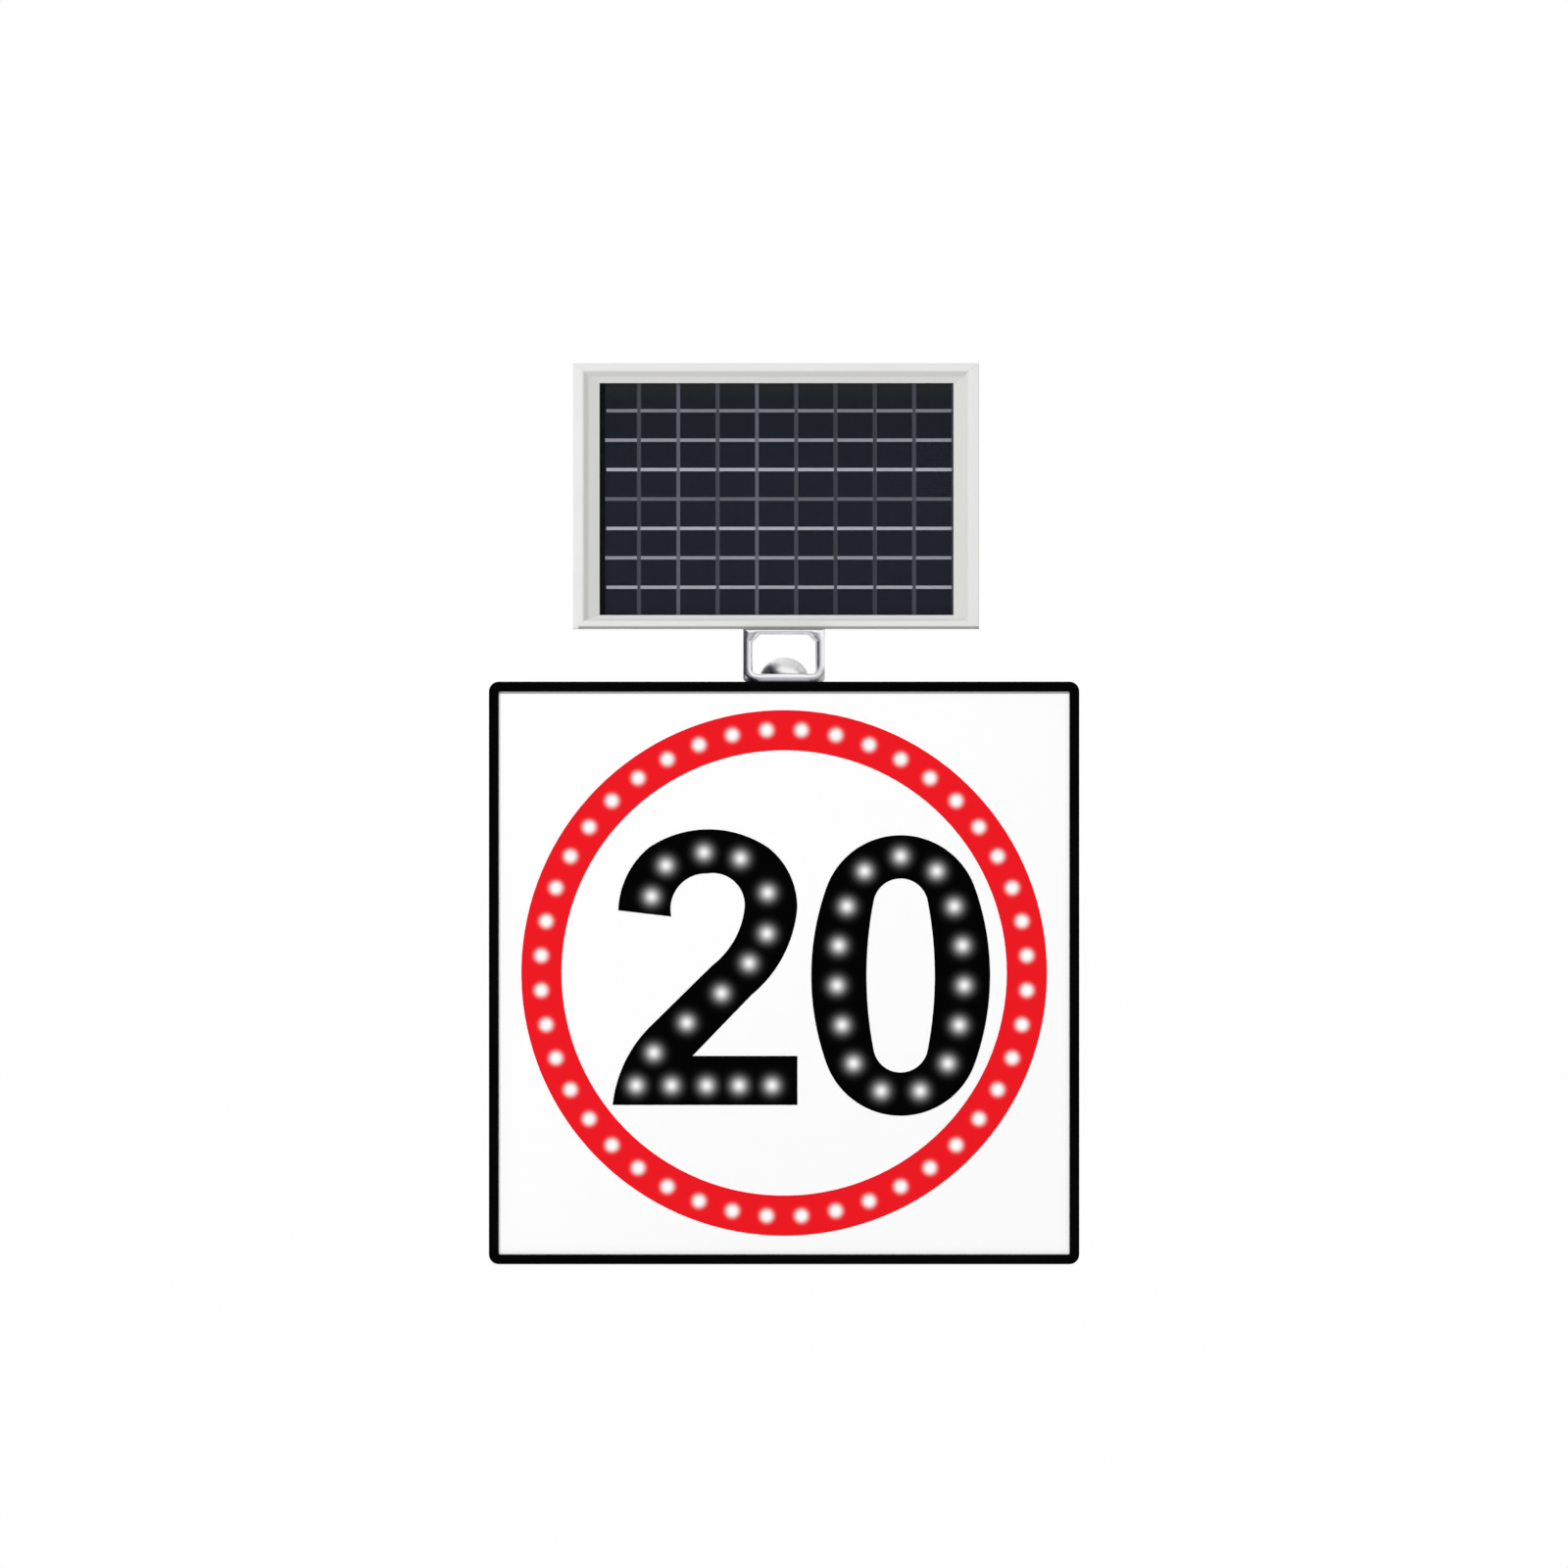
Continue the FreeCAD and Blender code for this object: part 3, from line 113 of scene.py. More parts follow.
class Number:
    """A value in a shader. Python operators on it add Math nodes."""

    __add__, __radd__ = math_method("ADD"), math_method("ADD", True)
    __sub__, __rsub__ = math_method("SUBTRACT"), math_method("SUBTRACT", True)
    __mul__, __rmul__ = math_method("MULTIPLY"), math_method("MULTIPLY", True)
    __truediv__, __rtruediv__ = math_method("DIVIDE"), math_method("DIVIDE", True)
    __pow__, __rpow__ = math_method("POWER"), math_method("POWER", True)
    __lt__, __gt__ = math_method("LESS_THAN"), math_method("GREATER_THAN")
    __abs__ = math_method("ABSOLUTE")
    least, most = math_method("MINIMUM"), math_method("MAXIMUM")
    wrapped, floored = math_method("FLOORED_MODULO"), math_method("FLOOR")
    root, exponential = math_method("SQRT"), math_method("EXPONENT")

    def __init__(self, tree: "Tree", socket: bpy.types.NodeSocket) -> None:
        """Keeps the socket and the tree that it belongs to."""
        self.tree = tree
        self.socket = socket

    def __neg__(self) -> "Number":
        """The value with its sign turned."""
        return self * -1.0

    def rise(self, low: float, high: float) -> "Number":
        """Smooth step from nought at low to one at high.

        Args:
            low: Value at which the step starts.
            high: Value at which it ends; it may be the lesser of the two.

        Returns:
            The step, held at its ends outside the two values.
        """
        settings = {"interpolation_type": "SMOOTHSTEP", "clamp": True}
        inputs = {"Value": self, "From Min": low, "From Max": high}
        return Number(self.tree, self.tree.node("ShaderNodeMapRange", settings, inputs).outputs[0])


class Tree:
    """The node tree of a material or a world, built anew."""

    def __init__(self, owner: bpy.types.Material | bpy.types.World) -> None:
        """Empties the tree."""
        owner.use_nodes = True
        self.tree = owner.node_tree
        self.tree.nodes.clear()

    def node(
        self, kind: str, settings: Settings | None = None, inputs: Settings | None = None
    ) -> bpy.types.Node:
        """Adds one node.

        Args:
            kind: Blender's name of the node type.
            settings: Properties of the node, set first.
            inputs: Values or links of its sockets, by name or number.

        Returns:
            The node.
        """
        node = self.tree.nodes.new(kind)
        for key, value in (settings or {}).items():
            setattr(node, key, value)
        for key, value in (inputs or {}).items():
            self.feed(node.inputs[key], value)
        return node

    def feed(self, socket: bpy.types.NodeSocket, value: Any) -> None:
        """Links a socket or sets its value.

        Args:
            socket: The input socket.
            value: A Number or an output socket to link, or a plain value.
        """
        source = value.socket if isinstance(value, Number) else value
        if isinstance(source, bpy.types.NodeSocket):
            self.tree.links.new(source, socket)
        elif socket.type == "RGBA" and len(source) == 3:
            socket.default_value = (*source, 1.0)
        else:
            socket.default_value = source

    def math(self, operation: str, *values: Number | float) -> Number:
        """One Math node on values, in order."""
        node = self.node("ShaderNodeMath", {"operation": operation}, dict(enumerate(values)))
        return Number(self, node.outputs[0])


class Shader(Tree):
    """The node tree of one piece's material, with a Principled shader at its end."""

    def __init__(self, name: str) -> None:
        """Starts a material of this name with nothing but its shader."""
        self.material = bpy.data.materials.new(name)
        super().__init__(self.material)
        self.principled = self.node("ShaderNodeBsdfPrincipled")
        self.node("ShaderNodeOutputMaterial", inputs={"Surface": self.principled.outputs[0]})
        self.coordinates = self.node("ShaderNodeTexCoord").outputs["Object"]

    def vector(self, operation: str, *values: Any) -> bpy.types.Node:
        """One Vector Math node on vectors given as sockets or as three numbers."""
        return self.node("ShaderNodeVectorMath", {"operation": operation}, dict(enumerate(values)))

    def away(self, vector: Any, place: Triple) -> Number:
        """Distance of a vector from a place."""
        return Number(self, self.vector("DISTANCE", vector, place).outputs["Value"])

    def mix(self, factor: Number | float, first: Any, second: Any) -> bpy.types.NodeSocket:
        """Blend of two colours: the first at a factor of nought, the second at one."""
        return self.node("ShaderNodeMix", {"data_type": "RGBA"}, {0: factor, 6: first, 7: second}).outputs[2]

    def axes(self) -> tuple[Number, Number, Number]:
        """The place on the part in metres, as three numbers."""
        node = self.node("ShaderNodeSeparateXYZ", inputs={0: self.coordinates})
        return tuple(Number(self, output) for output in node.outputs)

    def joined(self, x: Any, y: Any, z: Any) -> bpy.types.NodeSocket:
        """A vector from three numbers."""
        return self.node("ShaderNodeCombineXYZ", inputs={0: x, 1: y, 2: z}).outputs[0]

    def noise(self, scale: float, detail: float = 2.0, stretch: Triple = (1.0, 1.0, 1.0)) -> Number:
        """Soft noise over the part.

        Args:
            scale: Waves to a metre.
            detail: Finer layers on top of the first.
            stretch: Factor on each axis, small along the grain.

        Returns:
            The noise, mostly from 0.3 to 0.7.
        """
        place = self.vector("MULTIPLY", self.coordinates, stretch).outputs[0]
        inputs = {"Vector": place, "Scale": scale, "Detail": detail}
        return Number(self, self.node("ShaderNodeTexNoise", inputs=inputs).outputs[0])

    def spangle(self, scale: float) -> Number:
        """One random value, from nought to one, for each crystal of a Voronoi pattern."""
        inputs = {"Vector": self.coordinates, "Scale": scale}
        colour = self.node("ShaderNodeTexVoronoi", inputs=inputs).outputs["Color"]
        return Number(self, self.node("ShaderNodeSeparateColor", inputs={0: colour}).outputs[0])

    def chance(self, vector: Any) -> Number:
        """A random value from nought to one for each value of a vector."""
        node = self.node("ShaderNodeTexWhiteNoise", {"noise_dimensions": "3D"}, {"Vector": vector})
        return Number(self, node.outputs["Value"])

    def bump(self, height: Number, distance: float) -> bpy.types.NodeSocket:
        """A normal that leans as the height changes; a height of one stands for the distance."""
        return self.node("ShaderNodeBump", inputs={"Distance": distance, "Height": height}).outputs[0]

    def finish(self, inputs: Settings) -> None:
        """Sets or links the Principled shader's sockets."""
        for name, value in inputs.items():
            self.feed(self.principled.inputs[name], value)


def scaled(colour: Colour, factor: float) -> Colour:
    """A colour times a number."""
    return tuple(factor * channel for channel in colour)


def honeycomb(shader: Shader, pitch: float) -> Number:
    """Walls of a honeycomb in the plane of the sign.

    The place is measured in cells. Two lattices of rectangles, half a step apart, hold the middles of the
    cells, and the nearer middle counts. The distance to it across the flats is the greater of |x| and
    |x| / 2 + |z| root 3 / 2, and it is one half on a wall.

    Args:
        shader: The shader that gets the pattern.
        pitch: Width of a cell across its flats, in metres.

    Returns:
        One on the walls, nought inside the cells.
    """
    x, _, z = shader.axes()
    across, up = x / pitch, z / pitch
    root = math.sqrt(3.0)
    inside, wall = 0.42, 0.49
    reaches = []
    for shift in (0.0, 0.5):
        dx = abs((across + shift).wrapped(1.0) - 0.5)
        dz = abs((up + shift * root).wrapped(root) - root / 2.0)
        reaches.append(dx.most(dx * 0.5 + dz * (root / 2.0)))
    return reaches[0].least(reaches[1]).rise(inside, wall)


# Finishes


@dataclass(frozen=True)
class Finish:
    """A finish, which makes its material once and gives the same one to every piece."""

    name: str

    def material(self) -> bpy.types.Material:
        """The material, made at the first call."""
        found = bpy.data.materials.get(self.name)
        if found is None:
            shader = Shader(self.name)
            self.lay(shader)
            found = shader.material
        return found

    def lay(self, shader: Shader) -> None:
        """Lays the finish's nodes; each finish has its own."""
        raise NotImplementedError


@dataclass(frozen=True)
class PowderPaint(Finish):
    """Powder coat: fine orange peel, and a faint cloud of dust and sheen."""

    name: str = "black_powder_paint"
    colour: Colour = (0.0007, 0.0007, 0.0008)
    dusty: Colour = (0.0017, 0.0017, 0.0018)
    gloss: float = 0.014
    peel: float = 0.00004

    def lay(self, shader: Shader) -> None:
        """Peel in the normal, cloud in colour and roughness."""
        cloud = shader.noise(7.0, 4.0)
        shader.finish({
            "Base Color": shader.mix(cloud.rise(0.35, 0.7), self.colour, self.dusty),
            "Roughness": 0.34 + 0.16 * cloud,
            "Specular IOR Level": self.gloss,
            "Normal": shader.bump(shader.noise(700.0), self.peel),
        })


@dataclass(frozen=True)
class WhiteSheeting(Finish):
    """White reflective sheeting: a fine honeycomb under a clear face."""

    name: str = "white_sheeting"
    colour: Colour = (0.945, 0.945, 0.945)
    wall: Colour = (0.885, 0.888, 0.892)
    # Levels and grey of a painted shadow band under the housing's upper lip.
    painted_lip_shadow: Pair = (0.0, 0.0)
    painted_lip_shadow_grey: Colour = (0.41, 0.41, 0.412)

    def lay(self, shader: Shader) -> None:
        """Cell walls a shade greyer, a painted shadow band under the upper lip, and a slow cloud in the
        gloss.
        """
        walls = honeycomb(shader, CELL_PITCH)
        cloud = shader.noise(5.0, 3.0)
        _, _, z = shader.axes()
        # Painted shadow: a grey band just under the housing's upper lip, where the lip shades the face.
        painted_lip_shadow = (z > self.painted_lip_shadow[0]) * (z < self.painted_lip_shadow[1])
        shader.finish({
            "Base Color": shader.mix(painted_lip_shadow, shader.mix(walls * 0.6, self.colour, self.wall), self.painted_lip_shadow_grey),
            "Roughness": 0.34 + 0.12 * cloud,
            "Specular IOR Level": 0.12,
            "Normal": shader.bump(walls, 0.00001),
        })


@dataclass(frozen=True)
class Glow:
    """Light round a lamp: the peak times e to the minus (distance over spread) to the power of fall."""

    peak: float
    spread: float
    fall: float

    def at(self, distance: Number) -> Number:
        """Share of white at a distance from the nearest lamp."""
        return self.peak * (-((distance / self.spread) ** self.fall)).exponential()


@dataclass(frozen=True)
class LampRing:
    """Lamps evenly round a circle, half a step off the level line."""

    middle: Pair
    radius: float
    count: int

    def distance(self, shader: Shader) -> Number:
        """Distance to the nearest lamp.

        The polar angle is folded into one step between lamps, so that each lamp stands in the middle of its
        step. The distance is then the root of the squares of the way along the circle and the way across.
        """
        x, _, z = shader.axes()
        across, up = x - self.middle[0], z - self.middle[1]
        reach = (across * across + up * up).root()
        step = 2.0 * math.pi / self.count
        turn = shader.math("ARCTAN2", up, across) / step
        along = reach * (turn.wrapped(1.0) - 0.5) * step
        out = reach - self.radius
        return (along * along + out * out).root()


@dataclass(frozen=True)
class LampSpots:
    """Lamps at given places on the face."""

    places: tuple[Pair, ...]

    def distance(self, shader: Shader) -> Number:
        """Distance to the nearest of the lamps."""
        x, _, z = shader.axes()
        flat = shader.joined(x, 0.0, z)
        return reduce(Number.least, [shader.away(flat, (across, 0.0, up)) for across, up in self.places])


@dataclass(frozen=True)
class LitFilm(Finish):
    """Coloured film or clear lens on it: the film's colour, and the lamps' light on top."""

    colour: Colour
    lamps: LampRing | LampSpots
    glow: Glow
    roughness: float = 0.36
    gloss: float = 0.03

    def lay(self, shader: Shader) -> None:
        """Base colour fades out where the light takes over."""
        light = self.glow.at(self.lamps.distance(shader))
        film = shader.mix(honeycomb(shader, CELL_PITCH) * 0.25, self.colour, scaled(self.colour, 0.7))
        cloud = shader.noise(6.0, 3.0)
        shader.finish({
            "Base Color": shader.mix(light, film, BLACK),
            "Emission Color": shader.mix(light, BLACK, WHITE),
            "Emission Strength": 1.0,
            "Roughness": self.roughness + 0.1 * (cloud - 0.5),
            "Specular IOR Level": self.gloss,
        })


@dataclass(frozen=True)
class BrightMetal(Finish):
    """Bright plated casting: soft ripples, with painted shade where it turns away from the view."""

    name: str
    # Place and reach of a paler, less metallic patch of painted light.
    painted_bright_patch_at: Triple
    painted_bright_patch_reach: float
    colour: Colour = (0.96, 0.96, 0.965)
    shade: Colour = (0.80, 0.805, 0.83)
    outline: Colour = (0.34, 0.345, 0.37)
    roughness: float = 0.26
    turned_from: float = 0.55
    ripple: float = 0.00002
    # Colour, place and reach of a painted dark reflection.
    painted_dark_reflection: Colour = (0.10, 0.104, 0.128)
    painted_dark_reflection_at: Triple = (0.0, 0.0, 0.0)
    painted_dark_reflection_reach: float = 0.0
    # Colour and metallic of that patch of painted light.
    painted_bright_patch: Colour = (0.90, 0.90, 0.905)
    painted_bright_patch_metal: float = 0.25

    @staticmethod
    def near(shader: Shader, place: Triple, reach: float) -> Number:
        """One close to the place, nought beyond the reach."""
        return shader.away(shader.coordinates, place).rise(reach, 0.35 * reach)

    def lay(self, shader: Shader) -> None:
        """Ripples of the casting in the normal, scuffs in the roughness, a painted dark reflection and a
        paler, less metallic patch of painted light.
        """
        weight = shader.node("ShaderNodeLayerWeight", inputs={"Blend": 0.42})
        facing = Number(shader, weight.outputs["Facing"])
        scuffs = shader.noise(260.0, 4.0)
        # Painted shade: the metal darkens towards the shade colour as it turns away from the view, for the
        # dark bands of reflections.
        metal = shader.mix(facing.rise(0.3, 0.85), self.colour, self.shade)
        # Painted dark reflection: a dark patch round a given place, standing in for dark surroundings seen in
        # the metal.
        if self.painted_dark_reflection_reach > 0.0:
            metal = shader.mix(self.near(shader, self.painted_dark_reflection_at, self.painted_dark_reflection_reach), metal, self.painted_dark_reflection)
        # Painted light: a paler, less metallic patch round a given place, standing in for a bright
        # reflection.
        painted_bright_patch = self.near(shader, self.painted_bright_patch_at, self.painted_bright_patch_reach)
        metal = shader.mix(painted_bright_patch, metal, self.painted_bright_patch)
        shader.finish({
            # Painted shade: a dark outline where the surface turns nearly edge-on.
            "Base Color": shader.mix(facing.rise(self.turned_from, 0.95), metal, self.outline),
            "Metallic": 1.0 - (1.0 - self.painted_bright_patch_metal) * painted_bright_patch,
            "Specular IOR Level": 0.0,
            "Roughness": self.roughness + 0.1 * scuffs,
            "Normal": shader.bump(shader.noise(90.0), self.ripple),
        })


@dataclass(frozen=True)
class ZincSteel(Finish):
    """Galvanised steel: spangles of slightly different grey."""

    name: str = "galvanised_steel"
    colour: Colour = (0.50, 0.51, 0.53)
    pale: Colour = (0.68, 0.69, 0.70)
    crystals: float = 190.0

    def lay(self, shader: Shader) -> None:
        """Each crystal has its own grey and its own gloss."""
        crystal = shader.spangle(self.crystals)
        shader.finish({
            "Base Color": shader.mix(crystal, self.colour, self.pale),
            "Metallic": 1.0,
            "Roughness": 0.3 + 0.18 * crystal,
            "Normal": shader.bump(shader.noise(500.0), 0.00004),
        })


@dataclass(frozen=True)
class DrawnAluminium(Finish):
    """Extruded aluminium: long fine lines along the rail."""

    name: str = "drawn_aluminium"
    colour: Colour = (0.60, 0.61, 0.62)
    pale: Colour = (0.78, 0.785, 0.79)

    def lay(self, shader: Shader) -> None:
        """Noise drawn out along the rail, in colour, roughness and normal."""
        lines = shader.noise(900.0, 3.0, (0.012, 1.0, 1.0))
        shader.finish({
            "Base Color": shader.mix(lines.rise(0.3, 0.7), self.colour, self.pale),
            "Metallic": 1.0,
            "Roughness": 0.24 + 0.2 * lines,
            "Normal": shader.bump(lines, 0.00002),
        })


@dataclass(frozen=True)
class CastAluminium(Finish):
    """Sand cast aluminium of the clamps: grainy skin, paler on what has rubbed."""

    name: str = "cast_aluminium"
    colour: Colour = (0.46, 0.47, 0.48)
    pale: Colour = (0.66, 0.67, 0.68)

    def lay(self, shader: Shader) -> None:
        """Coarse grain in the normal over a slow cloud."""
        grain = shader.noise(420.0, 4.0)
        cloud = shader.noise(40.0, 3.0)
        shader.finish({
            "Base Color": shader.mix(cloud.rise(0.3, 0.7), self.colour, self.pale),
            "Metallic": 1.0,
            "Roughness": 0.4 + 0.16 * grain,
            "Normal": shader.bump(grain, 0.00012),
        })


@dataclass(frozen=True)
class FrameCoatWithPaintedShading(Finish):
    """Pale satin coat of one side of the panel frame, with painted shading behind its rim and a painted
    shadow line along the lower edge.
    """

    colour: Colour
    # Tone painted on the step and slope behind the rim for this side's light and shade.
    painted_recess_shading: Colour
    rim: float = -12.5 * MM
    across: Pair = (-214.7 * MM, 198.3 * MM)
    upright: Pair = (645.8 * MM, 915.8 * MM)
    # Painted shade: factor that darkens that tone on the step.
    painted_step_shade: float = 1.0
    fall: float = 0.9 * MM
    step: Pair = (2.1 * MM, 3.1 * MM)
    front_depth: float = 7.0 * MM
    edge: float = 3.0 * MM
    cloudy: float = 0.81
    # Height of the painted shadow line along the lower edge, where it fades in from the left end, and its
    # colour.
    shadow_line_height: float = 2.6 * MM
    shadow_line_start: Pair = (4.5 * MM, 6.5 * MM)
    painted_shadow_line: Colour = (0.33, 0.32, 0.296)

    def lay(self, shader: Shader) -> None:
        """Painted shading in the side's own tone where the front falls away from the rim, painted shade on
        the step, a slow cloud and fine grain.
        """
        cloud = shader.noise(14.0, 4.0)
        grain = shader.noise(800.0, 2.0)
        x, y, z = shader.axes()
        left, right = self.across
        low, high = self.upright
        inset = (x - left).least(right - x).least((z - low).least(high - z))
        front = (y < self.rim + self.front_depth) * (inset > self.edge)
        # Painted shade: behind the rim the colour turns to the side's shading tone, darker still on the step.
        past = y.rise(self.rim + self.step[0], self.rim + self.step[1])
        painted_step_and_slope = shader.mix(past, scaled(self.painted_recess_shading, self.painted_step_shade), self.painted_recess_shading)
        coat = shader.mix(y.rise(self.rim, self.rim + self.fall) * front, self.colour, painted_step_and_slope)
        coat = shader.mix(cloud.rise(0.45, 0.95) * 0.3, coat, scaled(self.colour, self.cloudy))
        # Painted shadow: a dark line along the frame's lower edge, as on its shaded underside, fading in a
        # few millimetres from the left end.
        near_lower_edge = z.rise(low + 1.2 * self.shadow_line_height, low + 0.8 * self.shadow_line_height)
        shadow_line_mask = near_lower_edge * x.rise(left + self.shadow_line_start[0], left + self.shadow_line_start[1])
        shader.finish({
            "Base Color": shader.mix(shadow_line_mask, coat, self.painted_shadow_line),
            "Roughness": 0.38 + 0.12 * cloud,
            "Specular IOR Level": 0.2,
            "Normal": shader.bump(grain, 0.00003),
        })


@dataclass(frozen=True)
class Moulded(Finish):
    """Moulded plastic or rubber: one colour with fine grain and a slow cloud."""

    colour: Colour
    pale: Colour
    roughness: float = 0.45
    grain: float = 0.00005
    gloss: float = 0.3

    def lay(self, shader: Shader) -> None:
        """Grain in the normal, cloud in colour and roughness."""
        cloud = shader.noise(30.0, 3.0)
        shader.finish({
            "Base Color": shader.mix(cloud.rise(0.3, 0.7), self.colour, self.pale),
            "Roughness": self.roughness + 0.12 * cloud,
            "Specular IOR Level": self.gloss,
            "Normal": shader.bump(shader.noise(900.0, 3.0), self.grain),
        })


@dataclass(frozen=True)
class FinnedCase(Finish):
    """Dark anodised case with fine pressed lines."""

    name: str = "finned_case"
    colour: Colour = (0.05, 0.06, 0.085)
    pale: Colour = (0.10, 0.12, 0.16)
    pitch: float = 5.0 * MM

    def lay(self, shader: Shader) -> None:
        """Level lines in the normal and a faint cloud in the colour."""
        _, _, z = shader.axes()
        line = abs((z / self.pitch).wrapped(1.0) - 0.5).rise(0.1, 0.3)
        cloud = shader.noise(40.0, 3.0)
        shader.finish({
            "Base Color": shader.mix(cloud, self.colour, self.pale),
            "Metallic": 1.0,
            "Roughness": 0.4 + 0.15 * cloud,
            "Normal": shader.bump(line, 0.0003),
        })


@dataclass(frozen=True)
class CircuitBoard(Finish):
    """Green solder mask over straight copper tracks and round pads."""

    name: str = "circuit_board_mask"
    mask: Colour = (0.012, 0.085, 0.035)
    track: Colour = (0.035, 0.17, 0.075)
    pad: Colour = (0.62, 0.60, 0.52)
    pitch: float = 4.0 * MM

    def lay(self, shader: Shader) -> None:
        """Tracks on every other line of a grid, broken at random, with a pad at some crossings."""
        x, _, z = shader.axes()
        across, up = x / self.pitch, z / self.pitch
        pick = shader.chance(shader.joined(across.floored(), 0.0, up.floored()))
        dx, dz = abs(across.wrapped(1.0) - 0.5), abs(up.wrapped(1.0) - 0.5)
        level = dz.rise(0.16, 0.12) * (pick < 0.5)
        upright = dx.rise(0.16, 0.12) * (pick > 0.3)
        pads = (dx * dx + dz * dz).root().rise(0.3, 0.26) * (pick > 0.86)
        tracks = level.most(upright)
        shader.finish({
            "Base Color": shader.mix(pads, shader.mix(tracks, self.mask, self.track), self.pad),
            "Metallic": pads * 0.9,
            "Roughness": 0.34 + 0.1 * tracks,
            "Normal": shader.bump(tracks.most(pads), 0.00006),
        })


@dataclass(frozen=True)
class Brass(Finish):
    """Turned brass with faint tarnish."""

    name: str = "turned_brass"
    colour: Colour = (0.70, 0.50, 0.18)
    tarnish: Colour = (0.40, 0.27, 0.10)

    def lay(self, shader: Shader) -> None:
        """Tarnish as a cloud in colour and roughness."""
        cloud = shader.noise(220.0, 3.0)
        shader.finish({
            "Base Color": shader.mix(cloud.rise(0.45, 0.8), self.colour, self.tarnish),
            "Metallic": 1.0,
            "Roughness": 0.22 + 0.25 * cloud,
        })


@dataclass(frozen=True)
class CellMatrix:
    """Places of the cells behind the glass, in metres."""

    left: float = -187.7 * MM
    # Painted shadow: the first column starts this far in, so that the dark back sheet shows left of it as the
    # shadow of the frame's left side.
    painted_shadow_end: float = -182.0 * MM
    low: float = 658.26 * MM
    wide: float = 40.0 * MM
    tall: float = 59.87 * MM
    columns: int = 9
    rows: int = 4
    gap: float = 3.2 * MM
    ribbon: float = 3.4 * MM

    def edges(self) -> tuple[Array, Array, Array, Array]:
        """Left, right, lower and upper edge of each cell, row by row."""
        column, row = (a.reshape(-1) for a in np.meshgrid(np.arange(self.columns), np.arange(self.rows)))
        x0 = self.left + self.wide * column + self.gap / 2
        x1 = x0 + self.wide - self.gap
        z0 = self.low + self.tall * row + self.gap / 2
        return np.maximum(x0, self.painted_shadow_end), x1, z0, z0 + self.tall - self.gap

    def shares(self, x: Number, z: Number) -> tuple[Number, Number]:
        """Columns from the left and rows from below."""
        return (x - self.left) / self.wide, (z - self.low) / self.tall

    @staticmethod
    def off_line(share: Number) -> Number:
        """Distance to the nearest line between cells, in cells."""
        return abs((share + 0.5).wrapped(1.0) - 0.5)


@dataclass(frozen=True)
class SolarCell(Finish):
    """Blue-black silicon: bluer at the top, more violet below, each cell its own shade, fine fingers."""

    matrix: CellMatrix = CellMatrix()
    name: str = "solar_cell_silicon"
    upper: Colour = (0.0086, 0.0124, 0.0180)
    lower: Colour = (0.0132, 0.0130, 0.0240)
    brink: Colour = (0.0185, 0.0195, 0.0205)
    bluer: Pair = (0.79, 0.85)
    under_frame: Pair = (0.876, 0.894)
    finger: Colour = (0.09, 0.095, 0.11)
    finger_pitch: float = 2.2 * MM
    edge: Colour = (0.062, 0.065, 0.080)
    edge_width: float = 1.1 * MM

    def lay(self, shader: Shader) -> None:
        """Two shades by height, a paler brink under the top of the frame, pale edges and level fingers."""
        x, _, z = shader.axes()
        cells = self.matrix
        across, up = cells.shares(x, z)
        pick = shader.chance(shader.joined(across.floored(), 0.0, up.floored()))
        silicon = shader.mix(z.rise(*self.bluer), self.lower, self.upper)
        silicon = shader.mix(z.rise(*self.under_frame) * 0.9, silicon, self.brink)
        shade = shader.noise(16.0, 2.0) * 0.5 + pick * 0.25
        silicon = shader.mix(shade * 0.4, silicon, scaled(self.lower, 0.55))
        off_x = cells.off_line(across) * cells.wide - cells.gap / 2
        off_z = cells.off_line(up) * cells.tall - cells.gap / 2
        silicon = shader.mix(off_x.least(off_z).rise(self.edge_width, 0.0), silicon, self.edge)
        finger = abs((z / self.finger_pitch).wrapped(1.0) - 0.5).rise(0.40, 0.46)
        shader.finish({
            "Base Color": shader.mix(finger * 0.12, silicon, self.finger),
            "Roughness": 0.3 + 0.15 * finger,
            "Specular IOR Level": 0.02,
        })


@dataclass(frozen=True)
class RibbonSolder(Finish):
    """Tinned ribbon: grey, brighter in some rows than in others, with a faint crease along it."""

    matrix: CellMatrix = CellMatrix()
    name: str = "tinned_ribbon"
    dim: Colour = (0.185, 0.19, 0.22)
    bright: Colour = (0.45, 0.453, 0.50)

    def lay(self, shader: Shader) -> None:
        """Each row has its own grey; fine noise along the ribbon."""
        x, _, z = shader.axes()
        row = self.matrix.shares(x, z)[1].floored()
        share = 0.72 + 0.24 * (row > 0.5) - 0.86 * (row > 2.5)
        share = share + 0.12 * (shader.noise(400.0, 2.0, (0.2, 1.0, 1.0)) - 0.5)
        shader.finish({
            "Base Color": shader.mix(share, self.dim, self.bright),
            "Roughness": 0.45 + 0.2 * shader.noise(300.0),
            "Specular IOR Level": 0.3,
        })


